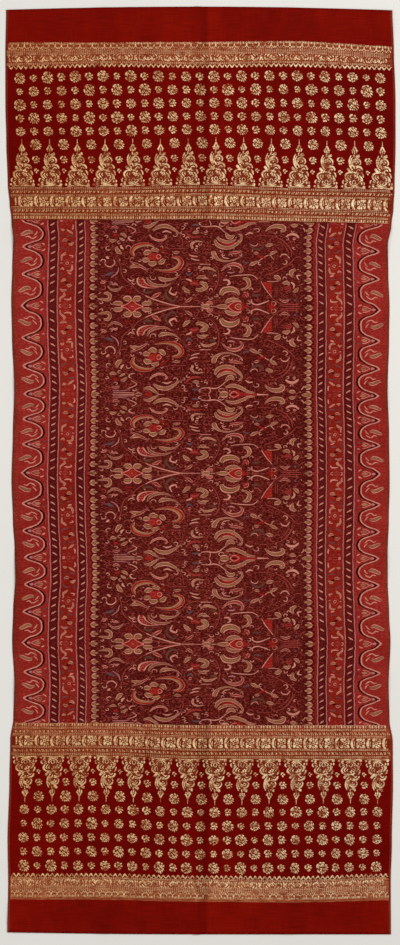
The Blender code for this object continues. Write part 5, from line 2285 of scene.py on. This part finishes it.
class IKAT_OT_stage(bpy.types.Operator):
    """Set the floor, the lights and the camera"""

    bl_idname = "ikat.stage"
    bl_label = "Set the stage"

    def execute(self, context):
        settings = context.scene.ikat_stage
        self.floor(context, settings)
        self.light(context, "key", settings.key_power, KEY_PLACE, KEY_SIZE)
        self.light(context, "fill", settings.fill_power, FILL_PLACE, FILL_SIZE)
        world = bpy.data.worlds.new("Surroundings")
        world.use_nodes = True
        background = world.node_tree.nodes["Background"].inputs
        background["Strength"].default_value = settings.sky
        background["Color"].default_value = (1, 1, 1, 1)
        context.scene.world = world
        self.camera(context, settings)
        context.scene.view_settings.view_transform = "Standard"
        return {"FINISHED"}

    def floor(self, context, settings):
        """The plain floor, its face just under the cloth."""
        shape = bmesh.new()
        bmesh.ops.create_grid(shape, x_segments=2, y_segments=2, size=FLOOR_SIZE / 2)
        mesh = bpy.data.meshes.new("floor")
        shape.to_mesh(mesh)
        shape.free()
        floor = bpy.data.objects.new("floor", mesh)
        context.scene.collection.objects.link(floor)
        material = bpy.data.materials.new("floor")
        material.use_nodes = True
        shader = material.node_tree.nodes["Principled BSDF"]
        build = Tree(material.node_tree)
        point = build.node("ShaderNodeTexCoord").outputs["Object"]
        grain = build.noise(point, FLOOR_GRAIN, 4.0)
        pale = tuple(settings.floor_colour)
        dim = tuple(value * FLOOR_DIM for value in pale)
        build.put(shader.inputs["Base Color"], build.mix(grain, (*dim, 1), (*pale, 1)))
        shader.inputs["Roughness"].default_value = FLOOR_DULL
        mesh.materials.append(material)

    def light(self, context, name, power, place, size):
        """A square soft light that faces the cloth's middle."""
        data = bpy.data.lights.new(name, "AREA")
        data.energy = power
        data.size = size
        lamp = bpy.data.objects.new(name, data)
        context.scene.collection.objects.link(lamp)
        lamp.location = place
        towards = Vector((0, 0, 0)) - lamp.location
        lamp.rotation_euler = towards.to_track_quat("-Z", "Y").to_euler()

    def camera(self, context, settings):
        """The camera straight above, its long side along the cloth."""
        data = bpy.data.cameras.new("camera")
        data.lens = settings.lens
        data.sensor_width = SENSOR
        camera = bpy.data.objects.new("camera", data)
        context.scene.collection.objects.link(camera)
        height = FRAME_LONG_SQUARES * SQUARE * settings.lens / SENSOR
        camera.location = (*CAMERA_SHIFT, height)
        context.scene.camera = camera


class IKAT_PT_panel(bpy.types.Panel):
    """The steps that make the cloth, in order"""

    bl_label = "Ikat Cloth"
    bl_idname = "IKAT_PT_panel"
    bl_space_type = "VIEW_3D"
    bl_region_type = "UI"
    bl_category = "Ikat Cloth"

    def draw(self, context):
        for step in STEPS:
            self.layout.operator(step.bl_idname)
        for group in ("ikat_silk", "ikat_dyes", "ikat_gold", "ikat_stage"):
            settings = getattr(context.scene, group)
            for name in settings.__annotations__:
                self.layout.prop(settings, name)


STEPS = (IKAT_OT_silk, IKAT_OT_dyes, IKAT_OT_bands, IKAT_OT_figures, IKAT_OT_declare, IKAT_OT_stage)
GROUPS = (
    ("ikat_silk", IkatSilkSettings),
    ("ikat_dyes", IkatDyeSettings),
    ("ikat_gold", IkatGoldSettings),
    ("ikat_stage", IkatStageSettings),
)


def register():
    """Registers the classes and gives the scene its settings."""
    for name, group in GROUPS:
        bpy.utils.register_class(group)
        setattr(bpy.types.Scene, name, bpy.props.PointerProperty(type=group))
    for step in STEPS:
        bpy.utils.register_class(step)
    bpy.utils.register_class(IKAT_PT_panel)


def unregister():
    """Undoes register."""
    bpy.utils.unregister_class(IKAT_PT_panel)
    for step in reversed(STEPS):
        bpy.utils.unregister_class(step)
    for name, group in reversed(GROUPS):
        delattr(bpy.types.Scene, name)
        bpy.utils.unregister_class(group)


def main():
    register()
    bpy.ops.ikat.silk()
    bpy.ops.ikat.dyes()
    bpy.ops.ikat.bands()
    bpy.ops.ikat.figures()
    bpy.ops.ikat.declare()
    bpy.ops.ikat.stage()


if __name__ == "__main__":
    main()
